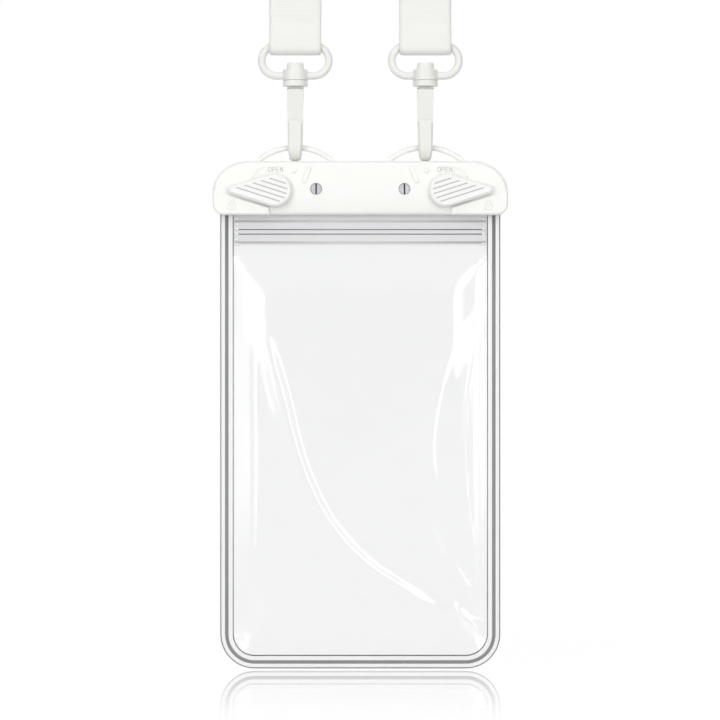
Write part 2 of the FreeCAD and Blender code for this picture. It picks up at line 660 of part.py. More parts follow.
def clamp_screw():
    """The left slotted screw, sunk in the clamp's face."""
    top_y = FACE_Y + SCREW_SUNK
    seat_y = top_y + SCREW_HEAD_H
    head = rod((-SCREW_X, seat_y, SCREW_Z), -Y_AXIS, SCREW_HEAD, SCREW_HEAD_H)
    slot = box((-SCREW_X - SCREW_SLOT / 2, -SCREW_X + SCREW_SLOT / 2), (top_y - 1, top_y + SCREW_SLOT_DEPTH),
               (SCREW_Z - SCREW_HEAD, SCREW_Z + SCREW_HEAD))
    end_y = -EDGE_HALF + BAR_T
    shank = rod((-SCREW_X, seat_y, SCREW_Z), Y_AXIS, SCREW_D, end_y - seat_y)
    return head.cut(slot).fuse(shank)


def lever():
    """The left lever: a grooved arm on a round hub with its shaft."""
    hub = (-LEVER_X, LEVER_Z)
    to_tip = LEVER_REACH - LEVER_TIP
    spread = math.degrees(math.acos((LEVER_HUB - LEVER_TIP) / to_tip))
    low = 270 - LEVER_SLOPE
    tip = turned(*hub, low - spread, to_tip)
    arm = deep(turned(*hub, low, LEVER_HUB), [
        turned(*tip, low, LEVER_TIP),
        (turned(*tip, low - spread, LEVER_TIP), turned(*tip, low - 2 * spread, LEVER_TIP)),
        turned(*hub, low - 2 * spread, LEVER_HUB),
        (turned(*hub, low - spread - 180, LEVER_HUB), turned(*hub, low, LEVER_HUB))],
        (LEVER_BACK, LEVER_BACK - LEVER_T))
    front = [edge for edge in arm.Edges
             if all(abs(point.y - LEVER_BACK + LEVER_T) < 0.01 for point in edge.discretize(3))]
    arm = arm.makeChamfer(LEVER_DRAFT, front)
    arm = arm.cut(grooves(hub, arm))
    shaft = rod((-LEVER_X, LEVER_BACK, LEVER_Z), Y_AXIS, SHAFT_D, WALL_BACK - LEVER_BACK)
    half = SHAFT_SQUARE / 2
    square = box((-LEVER_X - half, -LEVER_X + half), (WALL_BACK, CAM_T - CAM_FRONT),
                 (LEVER_Z - half, LEVER_Z + half))
    body = arm.multiFuse([shaft, square]).removeSplitter()
    depth = CAM_T - CAM_FRONT - LEVER_BACK
    return body.cut(rod((-LEVER_X, CAM_T - CAM_FRONT, LEVER_Z), -Y_AXIS, LEVER_SCREW_D, depth))


def grooves(hub, arm):
    """The finger grooves along the left lever, parallel to its lower edge."""
    face_y = LEVER_BACK - LEVER_T
    cuts = []
    for number in range(GROOVES):
        off = (number - (GROOVES - 1) / 2) * GROOVE_PITCH
        strip = box((-LEVER_REACH, LEVER_REACH), (face_y, face_y + GROOVE_DEPTH),
                    (off - GROOVE_W / 2, off + GROOVE_W / 2))
        strip.rotate(HERE, Y_AXIS, LEVER_SLOPE)
        strip.translate(Vector(hub[0], 0, hub[1]))
        cuts.append(strip)
    top = [one for one in arm.Faces
           if all(abs(vertex.Y - face_y) < 0.01 for vertex in one.Vertexes)][0]
    field = Part.Face(top.OuterWire.makeOffset2D(-GROOVE_W * 1.6))
    return Part.makeCompound(cuts).common(field.extrude(Vector(0, GROOVE_DEPTH, 0)))


def lever_cam():
    """The left cam: a rim that holds the catch, with a notch that frees it."""
    back_y = CAM_T - CAM_FRONT
    disc = rod((-LEVER_X, back_y, LEVER_Z), -Y_AXIS, 2 * CAM_R, CAM_T)
    boss = rod((-LEVER_X, back_y, LEVER_Z), -Y_AXIS, 2 * CAM_NOTCH_R, back_y - WALL_BACK - CATCH_GAP / 2)
    centre = 90 + LEVER_SWING
    hub = (-LEVER_X, LEVER_Z)
    places = [turned(*hub, centre + side * CAM_NOTCH / 2, CAM_R * 1.2) for side in (-1, 0, 1)]
    wedge = deep(hub, [places[0], (places[1], places[2])], (back_y + 1, -CAM_FRONT - 1))
    half = SHAFT_SQUARE / 2 + SHAFT_FIT
    square = box((-LEVER_X - half, -LEVER_X + half), (-FRONT_Y, 0), (LEVER_Z - half, LEVER_Z + half))
    return disc.cut(wedge).fuse(boss).cut(square).removeSplitter()


def lever_screw():
    """The screw that holds the left cam on the lever's shaft, from behind."""
    seat_y = CAM_T - CAM_FRONT
    head = rod((-LEVER_X, seat_y, LEVER_Z), Y_AXIS, LEVER_SCREW_HEAD, LEVER_SCREW_HEAD_H)
    length = seat_y - LEVER_BACK
    shank = rod((-LEVER_X, seat_y, LEVER_Z), -Y_AXIS, LEVER_SCREW_D - 2 * PIN_FIT, length - 0.2)
    slot = box((-LEVER_X - LEVER_SCREW_HEAD, -LEVER_X + LEVER_SCREW_HEAD),
               (seat_y + LEVER_SCREW_HEAD_H / 2, seat_y + LEVER_SCREW_HEAD_H + 1),
               (LEVER_Z - SCREW_SLOT / 2, LEVER_Z + SCREW_SLOT / 2))
    return head.cut(slot).fuse(shank).removeSplitter()


def pouch_rim(inset, top, y):
    """The pouch's outline, moved in by an inset, with a square top."""
    half = POUCH_HALF - inset
    low = POUCH_BOTTOM + inset
    radius = POUCH_R - inset
    give = radius * (1 - math.sqrt(0.5))
    start = (-half, top)
    steps = [(-half, low + radius), ((-half + give, low + give), (-half + radius, low)),
             (half - radius, low), ((half - give, low + give), (half, low + radius)), (half, top)]
    return face(start, steps, on_front(y))


def dish_ring(inset, y):
    """A rounded frame in the bulged part of a film."""
    half = INNER_HALF - inset
    top, low = DISH_TOP - inset, INNER_BOTTOM + inset
    radius = INNER_R
    give = radius * (1 - math.sqrt(0.5))
    place = on_front(y)
    edges = []
    corners = ((-1, 1, top), (1, 1, top), (1, -1, low), (-1, -1, low))
    ends = []
    for x_side, z_side, z in corners:
        on_edge = (x_side * half, z - z_side * radius)
        on_end = (x_side * (half - radius), z)
        middle = (x_side * (half - give), z - z_side * give)
        first, last = (on_edge, on_end) if x_side * z_side < 0 else (on_end, on_edge)
        ends.append((first, middle, last))
    for number, (first, middle, last) in enumerate(ends):
        edges.append(Part.Arc(place(first), place(middle), place(last)).toShape())
        following = ends[(number + 1) % len(ends)][0]
        edges.append(Part.LineSegment(place(last), place(following)).toShape())
    return Part.Wire(edges)


def dish(inset, back):
    """The bulge of a film as a solid, its rim at the film's flat part."""
    rings = []
    for step_in, height in DISH_STEPS:
        rings.append(dish_ring(step_in + inset, -PARTING_Y - height + back))
    return Part.makeLoft(rings, True, False)


def film(holes):
    """The front film: flat round its edge, dished over the phone's pocket."""
    sheet = pouch_rim(0, POUCH_TOP, -EDGE_HALF).extrude(Vector(0, -FILM_T, 0))
    seam_out = pouch_rim(SEAM_IN - SEAM_W / 2, CLAMP_BOTTOM - 0.5, -PARTING_Y)
    seam_in = pouch_rim(SEAM_IN + SEAM_W / 2, CLAMP_BOTTOM + 1, -PARTING_Y)
    seam = seam_out.cut(seam_in).extrude(Vector(0, -SEAM_H, 0))
    body = sheet.multiFuse([dish(0, 0), seam]).cut(dish(DISH_DRAFT, FILM_T))
    if holes:
        hole = rod((-SCREW_X, 0, SCREW_Z), -Y_AXIS, SCREW_D + 2 * SCREW_PLAY, PARTING_Y)
        body = body.cut(hole).cut(mirrored(hole))
    return body.removeSplitter()


def edge_frame():
    """The welded edge that joins the two films down the sides and round the foot."""
    outer = pouch_rim(0, POUCH_TOP, -EDGE_HALF)
    inner = pouch_rim(EDGE_W, POUCH_TOP + 1, -EDGE_HALF)
    return outer.cut(inner).extrude(Vector(0, EDGE_T, 0))


def zip_front_strip():
    """The front half of the zip: a band with two arrow-headed ribs."""
    x_ends = (-ZIP_HALF, ZIP_HALF)
    base_y = -EDGE_HALF + ZIP_BASE
    band = box(x_ends, (-EDGE_HALF, base_y), (ZIP_BOTTOM, ZIP_TOP))
    ribs = []
    for z in ZIP_LINES:
        low_y, top_y = ZIP_HEAD_Y
        ribs.append(across((base_y, z - ZIP_STEM / 2), [
            (low_y, z - ZIP_STEM / 2), (low_y, z - ZIP_HEAD / 2), (top_y, z - ZIP_STEM / 4),
            (top_y, z + ZIP_STEM / 4), (low_y, z + ZIP_HEAD / 2), (low_y, z + ZIP_STEM / 2),
            (base_y, z + ZIP_STEM / 2)], x_ends))
    return band.multiFuse(ribs + zip_edges(base_y, 1)).removeSplitter()


def zip_back_strip():
    """The back half of the zip: a band with two channels that grip the ribs."""
    x_ends = (-ZIP_HALF, ZIP_HALF)
    base_y = EDGE_HALF - ZIP_BASE
    band = box(x_ends, (base_y, EDGE_HALF), (ZIP_BOTTOM, ZIP_TOP))
    jaws = []
    inner = ZIP_HEAD / 2 + ZIP_ROOM
    end_y, lip_y = ZIP_LIP_Y
    for z in ZIP_LINES:
        for side in (-1, 1):
            jaws.append(across((base_y, z + side * inner), [
                (lip_y, z + side * inner), (lip_y, z + side * (inner - ZIP_LIP)),
                (end_y, z + side * inner), (end_y, z + side * (inner + ZIP_JAW)),
                (base_y, z + side * (inner + ZIP_JAW))], x_ends))
    return band.multiFuse(jaws + zip_edges(base_y, -1)).removeSplitter()


def zip_edges(base_y, side):
    """The two thicker ribs along a zip band's edges, where the films meet it."""
    ends = sorted((base_y, base_y + side * ZIP_RIB))
    ribs = []
    for low in (ZIP_BOTTOM + 0.3, ZIP_TOP - ZIP_FLANGE - ZIP_RIB_W):
        ribs.append(box((-ZIP_HALF, ZIP_HALF), ends, (low, low + ZIP_RIB_W)))
    return ribs


def parts():
    """Every piece by its name."""
    pairs = {"ring": ring(), "swivel_rivet": swivel_rivet(), "hook_body": hook_body(),
             "hook_gate": gate(), "gate_pin": gate_axle(PIN_D), "clamp_screw": clamp_screw(),
             "lever": lever(), "lever_cam": lever_cam(), "lever_screw": lever_screw()}
    pieces = {"neck_strap": neck_strap(), "front_clamp_shell": front_clamp_shell(),
              "back_clamp_shell": back_clamp_shell(), "inner_clamp_bar": inner_clamp_bar(),
              "clamp_gasket": clamp_gasket(), "front_film": film(True),
              "back_film": film(False).mirror(HERE, Y_AXIS), "edge_frame": edge_frame(),
              "zip_front_strip": zip_front_strip(), "zip_back_strip": zip_back_strip()}
    for name, shape in pairs.items():
        pieces[name + "_left"] = shape
        pieces[name + "_right"] = mirrored(shape)
    return pieces


def main():
    os.makedirs("parts", exist_ok=True)
    for name, shape in parts().items():
        shape.exportStep(os.path.join("parts", name + ".step"))
        print(name, len(shape.Solids), shape.isValid(), round(shape.Volume, 1))
    print("strap arch radius", STRAND_X)


main()
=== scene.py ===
"""Looks of the waterproof phone case: finishes, woven strap, puffed films and marks.

Metres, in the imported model's frame: +Z up, front towards -Y, and the origin at the
inner top of the strap's loop.
"""
import math
from functools import partial

import bmesh
import bpy
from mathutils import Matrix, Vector, kdtree, noise


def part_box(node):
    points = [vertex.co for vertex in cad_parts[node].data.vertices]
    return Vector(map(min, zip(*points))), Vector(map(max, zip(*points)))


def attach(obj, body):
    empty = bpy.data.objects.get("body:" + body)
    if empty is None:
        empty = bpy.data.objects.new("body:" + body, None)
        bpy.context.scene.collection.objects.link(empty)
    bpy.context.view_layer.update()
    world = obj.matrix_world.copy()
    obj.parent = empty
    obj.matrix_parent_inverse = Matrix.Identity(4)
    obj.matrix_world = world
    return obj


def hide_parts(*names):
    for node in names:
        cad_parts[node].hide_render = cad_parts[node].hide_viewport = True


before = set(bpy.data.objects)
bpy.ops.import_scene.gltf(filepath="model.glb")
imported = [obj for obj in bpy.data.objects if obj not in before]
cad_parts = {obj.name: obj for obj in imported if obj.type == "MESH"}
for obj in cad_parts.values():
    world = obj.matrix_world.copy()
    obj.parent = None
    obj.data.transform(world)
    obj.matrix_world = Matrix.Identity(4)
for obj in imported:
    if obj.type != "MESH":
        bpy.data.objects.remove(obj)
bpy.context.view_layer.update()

MM = 0.001
WHITE = (1, 1, 1, 1)

# A mix node's sockets for two colours and for their mixture
MIX_FIRST = 6
MIX_SECOND = 7
MIX_RESULT = 2

# The left and right sides, and the front and back faces, by their sign along X and Y
SIDES = ((-1, "left"), (1, "right"))
FACES = ((-1, "front"), (1, "back"))

# The photograph's framing: its width in pixels, what one of them covers at the pouch, the
# view's top and middle, and a camera far enough away for a long lens
PHOTO_WIDTH = 720
PIXEL = 0.4367 * MM
VIEW_TOP = -85 * MM
VIEW_X = -0.13 * MM
VIEW_SPAN = PIXEL * PHOTO_WIDTH
CAMERA_AWAY = 1.6
CAMERA_RANGE = (0.05, 30)
SENSOR = 36.0

# The room's level from the front, the sides and the back, and as reflections see it
ROOM_FRONT = 1.12
ROOM_SIDE = 0.10
ROOM_BACK = 1.9
ROOM_GLOSS = 0.4

# Where each level eases in, by a direction's part along Y or up, from -1 to 1
FRONT_EASE = (0.0, -0.95)
BACK_EASE = (0.55, 0.95)
WHITE_EASE = (0.35, 0.75)
CEILING_EASE = (0.04, 0.24)

# Lamps: name, place, width, height and watts
LAMPS = (
    ("left_key", (-0.70, -1.2, 0.60), 0.5, 0.5, 1.8),
    ("right_key", (0.48, -1.4, 0.05), 0.32, 0.62, 1.9),
    ("top", (0.0, -0.5, 0.9), 1.0, 0.4, 1.6),
    ("left_strip", (-0.60, -1.35, -0.2), 0.16, 1.0, 2.2),
    ("left_panel", (-0.80, -1.25, -0.2), 0.46, 1.0, 2.4),
    ("right_strip", (0.95, -1.15, -0.2), 0.12, 1.0, 1.2),
)
LAMP_AIM = Vector((0, 0, VIEW_TOP - VIEW_SPAN * 0.4))

# Floor: its half size and its drop under the pouch, and how strongly it mirrors the
# object and keeps its shadow, between a near and a far distance from the middle; the
# lift makes up for what the shadow's share takes from the open floor's white
FLOOR_HALF = 8.0
FLOOR_DROP = 0.6 * MM
MIRROR_SHARE = 0.5
MIRROR_DEEP = (0.0, 0.26)
MIRROR_WIDE = (0.066, 0.13)
SHADOW_SHARE = 0.2
SHADOW_LIFT = 0.5
SHADOW_REACH = (0.1, 0.5)

# Neck strap: its section, its route over the loop, the quarter turn on the way up, and
# the step and softening of its mesh
STRAP_W = 22.6 * MM
STRAP_T = 1.6 * MM
STRAND_X = 28.4 * MM
STRAP_FOOT = -106 * MM
ARCH_LOW = -15.84 * MM
ARCH_IN = 11.76 * MM
ARCH_TOP = STRAP_T / 2
TWIST_TOP = -27.6 * MM
TWIST_BOTTOM = -79 * MM
STRAP_STEP = 0.55 * MM
STRAP_ROUNDS = 3

# Hems round the rings: inner radius, rise in front, tail behind, and the join to the strand
HEM_R = 2.0 * MM
HEM_RISE = 10 * MM
HEM_TAIL = 15.6 * MM
HEM_JOIN = 0.5 * MM
HEM_STEPS = 12

# Weave: raised ribs, and how fine the bands of warp and weft are on a map in millimetres
RIB_PITCH = 2.2 * MM
RIB_DEPTH = 0.07 * MM
WARP_SCALE = 0.5 / 0.62
WEFT_SCALE = 0.5 / 1.1

# Stitches: their inset from the tail's edges, one stitch's pitch and its part of that,
# and the thread
STITCH_IN = 2.0 * MM
STITCH_IN_END = 1.2 * MM
STITCH_PITCH = 2.8 * MM
STITCH_SPAN = (0.12, 0.88)
THREAD_R = 0.24 * MM
THREAD_SIDES = 6

# One stitch from end to end: share of its length, rise and thickness in thread radii
STITCH_SHAPE = ((0.0, -1.0, 0.7), (0.12, 0.0, 1.0), (0.5, 0.35, 1.0), (0.88, 0.0, 1.0),
                (1.0, -1.0, 0.7))

# Films: thickness, the air that keeps them off the edge, the mesh's step and the outline
FILM_T = 0.5 * MM
FILM_AIR = 0.03 * MM
FILM_STEP = 1.1 * MM
POUCH_R = 15 * MM
EDGE_W = 5.5 * MM
CAD_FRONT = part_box("front_film")
POUCH_HALF = CAD_FRONT[1][0]
POUCH_TOP = CAD_FRONT[1][2]
POUCH_FOOT = CAD_FRONT[0][2]
FILM_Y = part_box("edge_frame")[1][1] + FILM_T
ZIP_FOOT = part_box("zip_front_strip")[0][2]
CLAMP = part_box("back_clamp_shell")

# Clear plastic: how it bends light, how milky the weld and the frosted zone beside the zip
# are, and what stays clear where both meet
FILM_IOR = 1.42
WELD_DENSITY = 0.88
FROST_DENSITY = 0.8
LEAST_CLEAR = 0.1
FROST_COLOUR = (0.90, 0.90, 0.915)
FROST_HALF = 55.2 * MM

# How a film puffs out: its slope at distances in millimetres from its pocket's edge, the
# softened corners, and the small lip beside the weld
DISH_TOP = ZIP_FOOT - 4 * MM
DISH_SLOPES = ((0.0, 0.46), (6.0, 0.195), (12.5, 0.185), (18.0, 0.0))
CORNER_BLEND = 4 * MM
CORNER_DROP = 1 * MM
LIP_H = 0.22 * MM
LIP_IN = 0.9 * MM
LIP_W = 0.6 * MM
LIFT_MOST = 4.8 * MM

# Waves: how many across and down a metre, a shift of their pattern, and their height,
# where in each film's pattern they start, and how far in they and the creases are eased
WAVES = ((30, 22, 0, 0.22 * MM), (85, 70, 7, 0.07 * MM))
FRONT_WAVES_AT = 1.3
BACK_WAVES_AT = 5.1
WAVE_EASE = 14 * MM
CREASE_EASE = 4 * MM

# Creases: the steps at which their lines are softened and followed, the rounds of
# softening, how many soft widths they reach, and the shares of their length that they
# fade in and out over
CREASE_COARSE = 6 * MM
CREASE_FINE = 0.8 * MM
CREASE_ROUNDS = 6
CREASE_REACH = 3
CREASE_START = 1 / 3.5
CREASE_END = 1 / 6

# Each crease: height, the steep side's width, the soft side's width, and places, all in
# millimetres
FRONT_CREASES = (
    (1.25, 2.4, 4.4, ((-54.5, -207.7), (-42.9, -224.7), (-35.1, -253.1), (-26.3, -290.2),
                      (-13.2, -316.5), (4.2, -333.9), (33.9, -350.5), (41.5, -355.5))),
    (0.8, 2.4, 4.0, ((37.9, -347.9), (46.5, -355.0), (54.6, -363.5))),
    (0.6, 1.6, 3.6, ((54.5, -218.0), (49.0, -240.0), (45.2, -262.0), (44.4, -284.0),
                     (46.5, -312.0), (53.5, -341.0))),
    (0.45, 1.2, 3.0, ((52.5, -232.0), (49.6, -256.0), (49.0, -282.0), (51.0, -310.0),
                      (53.8, -328.0))),
    (0.7, 2.6, 2.2, ((-46.5, -218.0), (-45.4, -250.0), (-45.0, -290.0), (-46.0, -345.0))),
    (0.35, 2.0, 6.0, ((-50.0, -201.0), (-20.0, -203.5), (15.0, -202.0), (50.0, -200.5))),
    (0.4, 2.0, 4.0, ((-48.0, -362.0), (-15.0, -360.5), (20.0, -361.0), (44.0, -361.5))),
)
BACK_CREASES = (
    (0.7, 1.6, 4.5, ((52.0, -214.0), (38.0, -240.0), (30.0, -275.0), (34.0, -315.0),
                     (50.0, -345.0))),
    (0.5, 1.4, 4.0, ((-52.0, -225.0), (-44.0, -262.0), (-43.0, -300.0), (-50.0, -338.0))),
    (0.5, 1.5, 3.6, ((-38.0, -349.0), (-46.0, -357.0), (-53.0, -364.0))),
    (0.35, 2.0, 6.0, ((-48.0, -202.0), (0.0, -204.5), (48.0, -201.5))),
)

# Raised lines round the pouch: inset, width and height of each, and their tuck in the clamp
RIM_LINE = (0.25 * MM, 0.42 * MM, 0.10 * MM)
WELD_LINE = (2.84 * MM, 1.6 * MM, 0.25 * MM)
INNER_LINE = (EDGE_W + 0.1 * MM, 0.34 * MM, 0.16 * MM)
LINE_TUCK = 0.6 * MM

# The section of each: across and out, in shares of its width and height
LINE_SHAPE = ((-0.5, -0.25), (-0.38, 0.7), (-0.16, 1.0), (0.16, 1.0), (0.38, 0.7), (0.5, -0.25))

# Raised lines across the zip: heights over its foot, and width and height of each line,
# which all end a little in from the welded edge
ZIP_LINES = ((6.7 * MM, 4.7 * MM), 0.55 * MM, 0.12 * MM)
ZIP_BANDS = ((10.3 * MM, 1.1 * MM), 1.0 * MM, 0.10 * MM)
ZIP_END_IN = 0.8 * MM
ZIP_HALF = POUCH_HALF - EDGE_W - ZIP_END_IN

# Crimps at the zip's ends: the first one's height over the foot, and their pitch, number,
# ends in from the zip's, width and height
CRIMP_UP = 11.4 * MM
CRIMP_PITCH = 2.2 * MM
CRIMP_COUNT = 6
CRIMP_ENDS = (0.1 * MM, 1.7 * MM)
CRIMP_W = 1.1 * MM
CRIMP_H = 0.20 * MM

# Painted shade, in darker colours: a screw's slot, with the room round it, and how deep
# behind a lever's front its grooves' floors are
SCREW_SLOT = 0.7 * MM
SLOT_AIR = 0.02 * MM
SLOT_DEEP = 0.1 * MM
GROOVE_DEEP = (0.2 * MM, 0.8 * MM)
FACING_FRONT = -0.9

# Angles, in degrees, past which a part's and a small part's edges stay sharp
SHARP = 35.0
SHARP_SMALL = 30.0

# Marks: the two faces that they lie on, their strokes, and for each the distance in from
# the clamp's side, up from its foot, and its height
FACE_Y = -8.0 * MM
PLATEAU_Y = -8.35 * MM
STROKE_W = 0.28 * MM
OPEN_WORD = (27.5 * MM, 19.7 * MM, 2.1 * MM)
PADLOCK = (8.5 * MM, 4.2 * MM, 3.7 * MM)

# Letters: width and step, in shares of their height
LETTER_W = 0.62
LETTER_STEP = 0.80


def tree(name):
    """A new material, its nodes, its links and its main shader."""
    material = bpy.data.materials.new(name)
    material.use_nodes = True
    nodes = material.node_tree.nodes
    return material, nodes, material.node_tree.links, nodes["Principled BSDF"]


def node(nodes, kind, **values):
    """A shader node with some of its inputs or settings filled in."""
    made = nodes.new(kind)
    for key, value in values.items():
        if hasattr(made, key):
            setattr(made, key, value)
        else:
            made.inputs[key.replace("_", " ")].default_value = value
    return made


def math_node(nodes, links, operation, *values):
    """The result of one sum; a value is a number or another node's output."""
    made = node(nodes, "ShaderNodeMath", operation=operation)
    for place, value in zip(made.inputs, values):
        if isinstance(value, (int, float)):
            place.default_value = value
        else:
            links.new(value, place)
    return made.outputs["Value"]


def axes(nodes, links, place):
    """A place's or direction's three numbers."""
    split = node(nodes, "ShaderNodeSeparateXYZ")
    links.new(place, split.inputs["Vector"])
    return split.outputs


def noised(nodes, links, scale, detail):
    """A grey noise that stays fixed to the object."""
    texture = node(nodes, "ShaderNodeTexNoise", Scale=scale, Detail=detail)
    place = node(nodes, "ShaderNodeTexCoord").outputs["Object"]
    links.new(place, texture.inputs["Vector"])
    return texture.outputs["Fac"]


def tinted(nodes, links, source, low, high):
    """A colour that runs from low to high with a grey value."""
    ramp = node(nodes, "ShaderNodeValToRGB")
    ramp.color_ramp.elements[0].color = (*low, 1)
    ramp.color_ramp.elements[1].color = (*high, 1)
    links.new(source, ramp.inputs["Fac"])
    return ramp.outputs["Color"]


def ranged(nodes, links, source, low, high):
    """A number that runs from low to high with a grey value."""
    span = node(nodes, "ShaderNodeMapRange", To_Min=low, To_Max=high)
    links.new(source, span.inputs["Value"])
    return span.outputs["Result"]


def eased_range(nodes, links, source, start, end, low, high):
    """A number that eases from low to high as another goes from start to end."""
    span = node(nodes, "ShaderNodeMapRange", interpolation_type="SMOOTHSTEP",
                From_Min=start, From_Max=end, To_Min=low, To_Max=high)
    links.new(source, span.inputs["Value"])
    return span.outputs["Result"]


def bumped(nodes, links, shader, height, strength, distance):
    """Lets a height move the shader's normal."""
    bump = node(nodes, "ShaderNodeBump", Strength=strength, Distance=distance)
    links.new(height, bump.inputs["Height"])
    links.new(bump.outputs["Normal"], shader.inputs["Normal"])


def mixed(nodes, links, share, first, second):
    """The first shader where a share is 0, and the second where it is 1."""
    mix = node(nodes, "ShaderNodeMixShader")
    for socket, source in zip(mix.inputs, (share, first, second)):
        links.new(source, socket)
    return mix.outputs["Shader"]


def seen_rays(nodes, links, names=("Is Camera Ray", "Is Glossy Ray", "Is Transmission Ray")):
    """1 for the rays that look at the background, and 0 for those that light the object."""
    path = node(nodes, "ShaderNodeLightPath")
    total = path.outputs[names[0]]
    for name in names[1:]:
        total = math_node(nodes, links, "MAXIMUM", total, path.outputs[name])
    return total


def moulded(name, low, high, roughness, grain=900.0, strength=0.12, coat=0.0):
    """Moulded or lacquered off-white, with a fine grain and a slow drift of tone."""
    material, nodes, links, shader = tree(name)
    drift = noised(nodes, links, scale=45.0, detail=2.0)
    fine = noised(nodes, links, scale=grain, detail=3.0)
    links.new(tinted(nodes, links, drift, low, high), shader.inputs["Base Color"])
    rough = ranged(nodes, links, fine, roughness * 0.85, roughness * 1.15)
    links.new(rough, shader.inputs["Roughness"])
    shader.inputs["Coat Weight"].default_value = coat
    shader.inputs["Coat Roughness"].default_value = 0.12
    bumped(nodes, links, shader, fine, strength, distance=0.05 * MM)
    return material


def metal(name, colour, roughness):
    """Bright turned steel with fine tool marks."""
    material, nodes, links, shader = tree(name)
    marked = noised(nodes, links, scale=2600.0, detail=2.0)
    darker = tuple(channel * 0.86 for channel in colour)
    links.new(tinted(nodes, links, marked, darker, colour), shader.inputs["Base Color"])
    shader.inputs["Metallic"].default_value = 1.0
    rough = ranged(nodes, links, marked, roughness * 0.8, roughness * 1.3)
    links.new(rough, shader.inputs["Roughness"])
    bumped(nodes, links, shader, marked, strength=0.15, distance=0.02 * MM)
    return material


def hazed(nodes, links, shader, low, high):
    """A haze that varies clear plastic's gloss from low to high and ripples it a little."""
    haze = noised(nodes, links, scale=60.0, detail=3.0)
    links.new(ranged(nodes, links, haze, low, high), shader.inputs["Roughness"])
    shader.inputs["IOR"].default_value = FILM_IOR
    bumped(nodes, links, shader, haze, strength=0.05, distance=0.2 * MM)
    return haze


def clear(name, colour, roughness, density):
    """Flexible plastic, from clear at a density of 0 to milky at 1."""
    material, nodes, links, shader = tree(name)
    haze = hazed(nodes, links, shader, roughness * 0.5, roughness * 1.5)
    darker = tuple(channel * 0.985 for channel in colour)
    links.new(tinted(nodes, links, haze, darker, colour), shader.inputs["Base Color"])
    shader.inputs["Transmission Weight"].default_value = 1.0 - density
    return material


def welded_and_frosted(nodes, links):
    """1 on a film's welded edge, and 1 where the zip frosts it."""
    calc = partial(math_node, nodes, links)
    place = node(nodes, "ShaderNodeTexCoord").outputs["Object"]
    x, _, z = axes(nodes, links, place)
    out_x = calc("ABSOLUTE", x)
    past_x = calc("SUBTRACT", out_x, POUCH_HALF - POUCH_R)
    past_z = calc("SUBTRACT", POUCH_FOOT + POUCH_R, z)
    squares = [calc("POWER", calc("MAXIMUM", past, 0.0), 2.0) for past in (past_x, past_z)]
    reach = calc("SQRT", calc("ADD", *squares))
    within = calc("MINIMUM", calc("MAXIMUM", past_x, past_z), 0.0)
    inset = calc("SUBTRACT", POUCH_R, calc("ADD", reach, within))
    above = calc("GREATER_THAN", z, ZIP_FOOT)
    frosted = calc("MULTIPLY", above, calc("LESS_THAN", out_x, FROST_HALF))
    return calc("LESS_THAN", inset, EDGE_W), frosted


def film_sheet():
    """Clear film, milky where it is welded round the pouch and along the zip."""
    material, nodes, links, shader = tree("clear_film")
    calc = partial(math_node, nodes, links)
    welded, frosted = welded_and_frosted(nodes, links)
    haze = hazed(nodes, links, shader, low=0.06, high=0.12)
    colour = tinted(nodes, links, haze, (0.945, 0.946, 0.948), (0.955, 0.956, 0.958))
    for share, milky in ((frosted, (*FROST_COLOUR, 1)), (welded, WHITE)):
        mix = node(nodes, "ShaderNodeMix", data_type="RGBA")
        links.new(share, mix.inputs["Factor"])
        links.new(colour, mix.inputs[MIX_FIRST])
        mix.inputs[MIX_SECOND].default_value = milky
        colour = mix.outputs[MIX_RESULT]
    links.new(colour, shader.inputs["Base Color"])
    clearness = calc("MULTIPLY_ADD", frosted, -FROST_DENSITY, 1.0)
    clearness = calc("MULTIPLY_ADD", welded, -WELD_DENSITY, clearness)
    clearness = calc("MAXIMUM", clearness, LEAST_CLEAR)
    links.new(clearness, shader.inputs["Transmission Weight"])
    return material


def webbing():
    """Off-white woven webbing: cross ribs of thread over fine lengthwise warp."""
    material, nodes, links, shader = tree("webbing")
    calc = partial(math_node, nodes, links)
    warp = node(nodes, "ShaderNodeTexWave", bands_direction="X", Scale=WARP_SCALE, Distortion=0.6)
    weft = node(nodes, "ShaderNodeTexWave", bands_direction="Y", Scale=WEFT_SCALE, Distortion=0.8)
    fuzz = node(nodes, "ShaderNodeTexNoise", Scale=2.4, Detail=4.0)
    place = node(nodes, "ShaderNodeUVMap", uv_map="weave").outputs["UV"]
    for texture in (warp, weft, fuzz):
        links.new(place, texture.inputs["Vector"])
    woven = calc("MULTIPLY", warp.outputs["Fac"], weft.outputs["Fac"])
    colour = tinted(nodes, links, woven, (0.82, 0.825, 0.795), (0.93, 0.935, 0.905))
    links.new(colour, shader.inputs["Base Color"])
    shader.inputs["Roughness"].default_value = 0.78
    shader.inputs["Sheen Weight"].default_value = 0.25
    height = calc("ADD", woven, fuzz.outputs["Fac"])
    bumped(nodes, links, shader, height, strength=0.55, distance=0.12 * MM)
    return material


def printed(name, colour):
    """Thin matt ink, a little uneven."""
    material, nodes, links, shader = tree(name)
    patch = noised(nodes, links, scale=1500.0, detail=2.0)
    pale = tuple(min(1.0, channel * 1.25) for channel in colour)
    links.new(tinted(nodes, links, patch, colour, pale), shader.inputs["Base Color"])
    shader.inputs["Roughness"].default_value = 0.6
    return material


def placed(name, data):
    """A new object in the scene."""
    made = bpy.data.objects.new(name, data)
    bpy.context.scene.collection.objects.link(made)
    return made


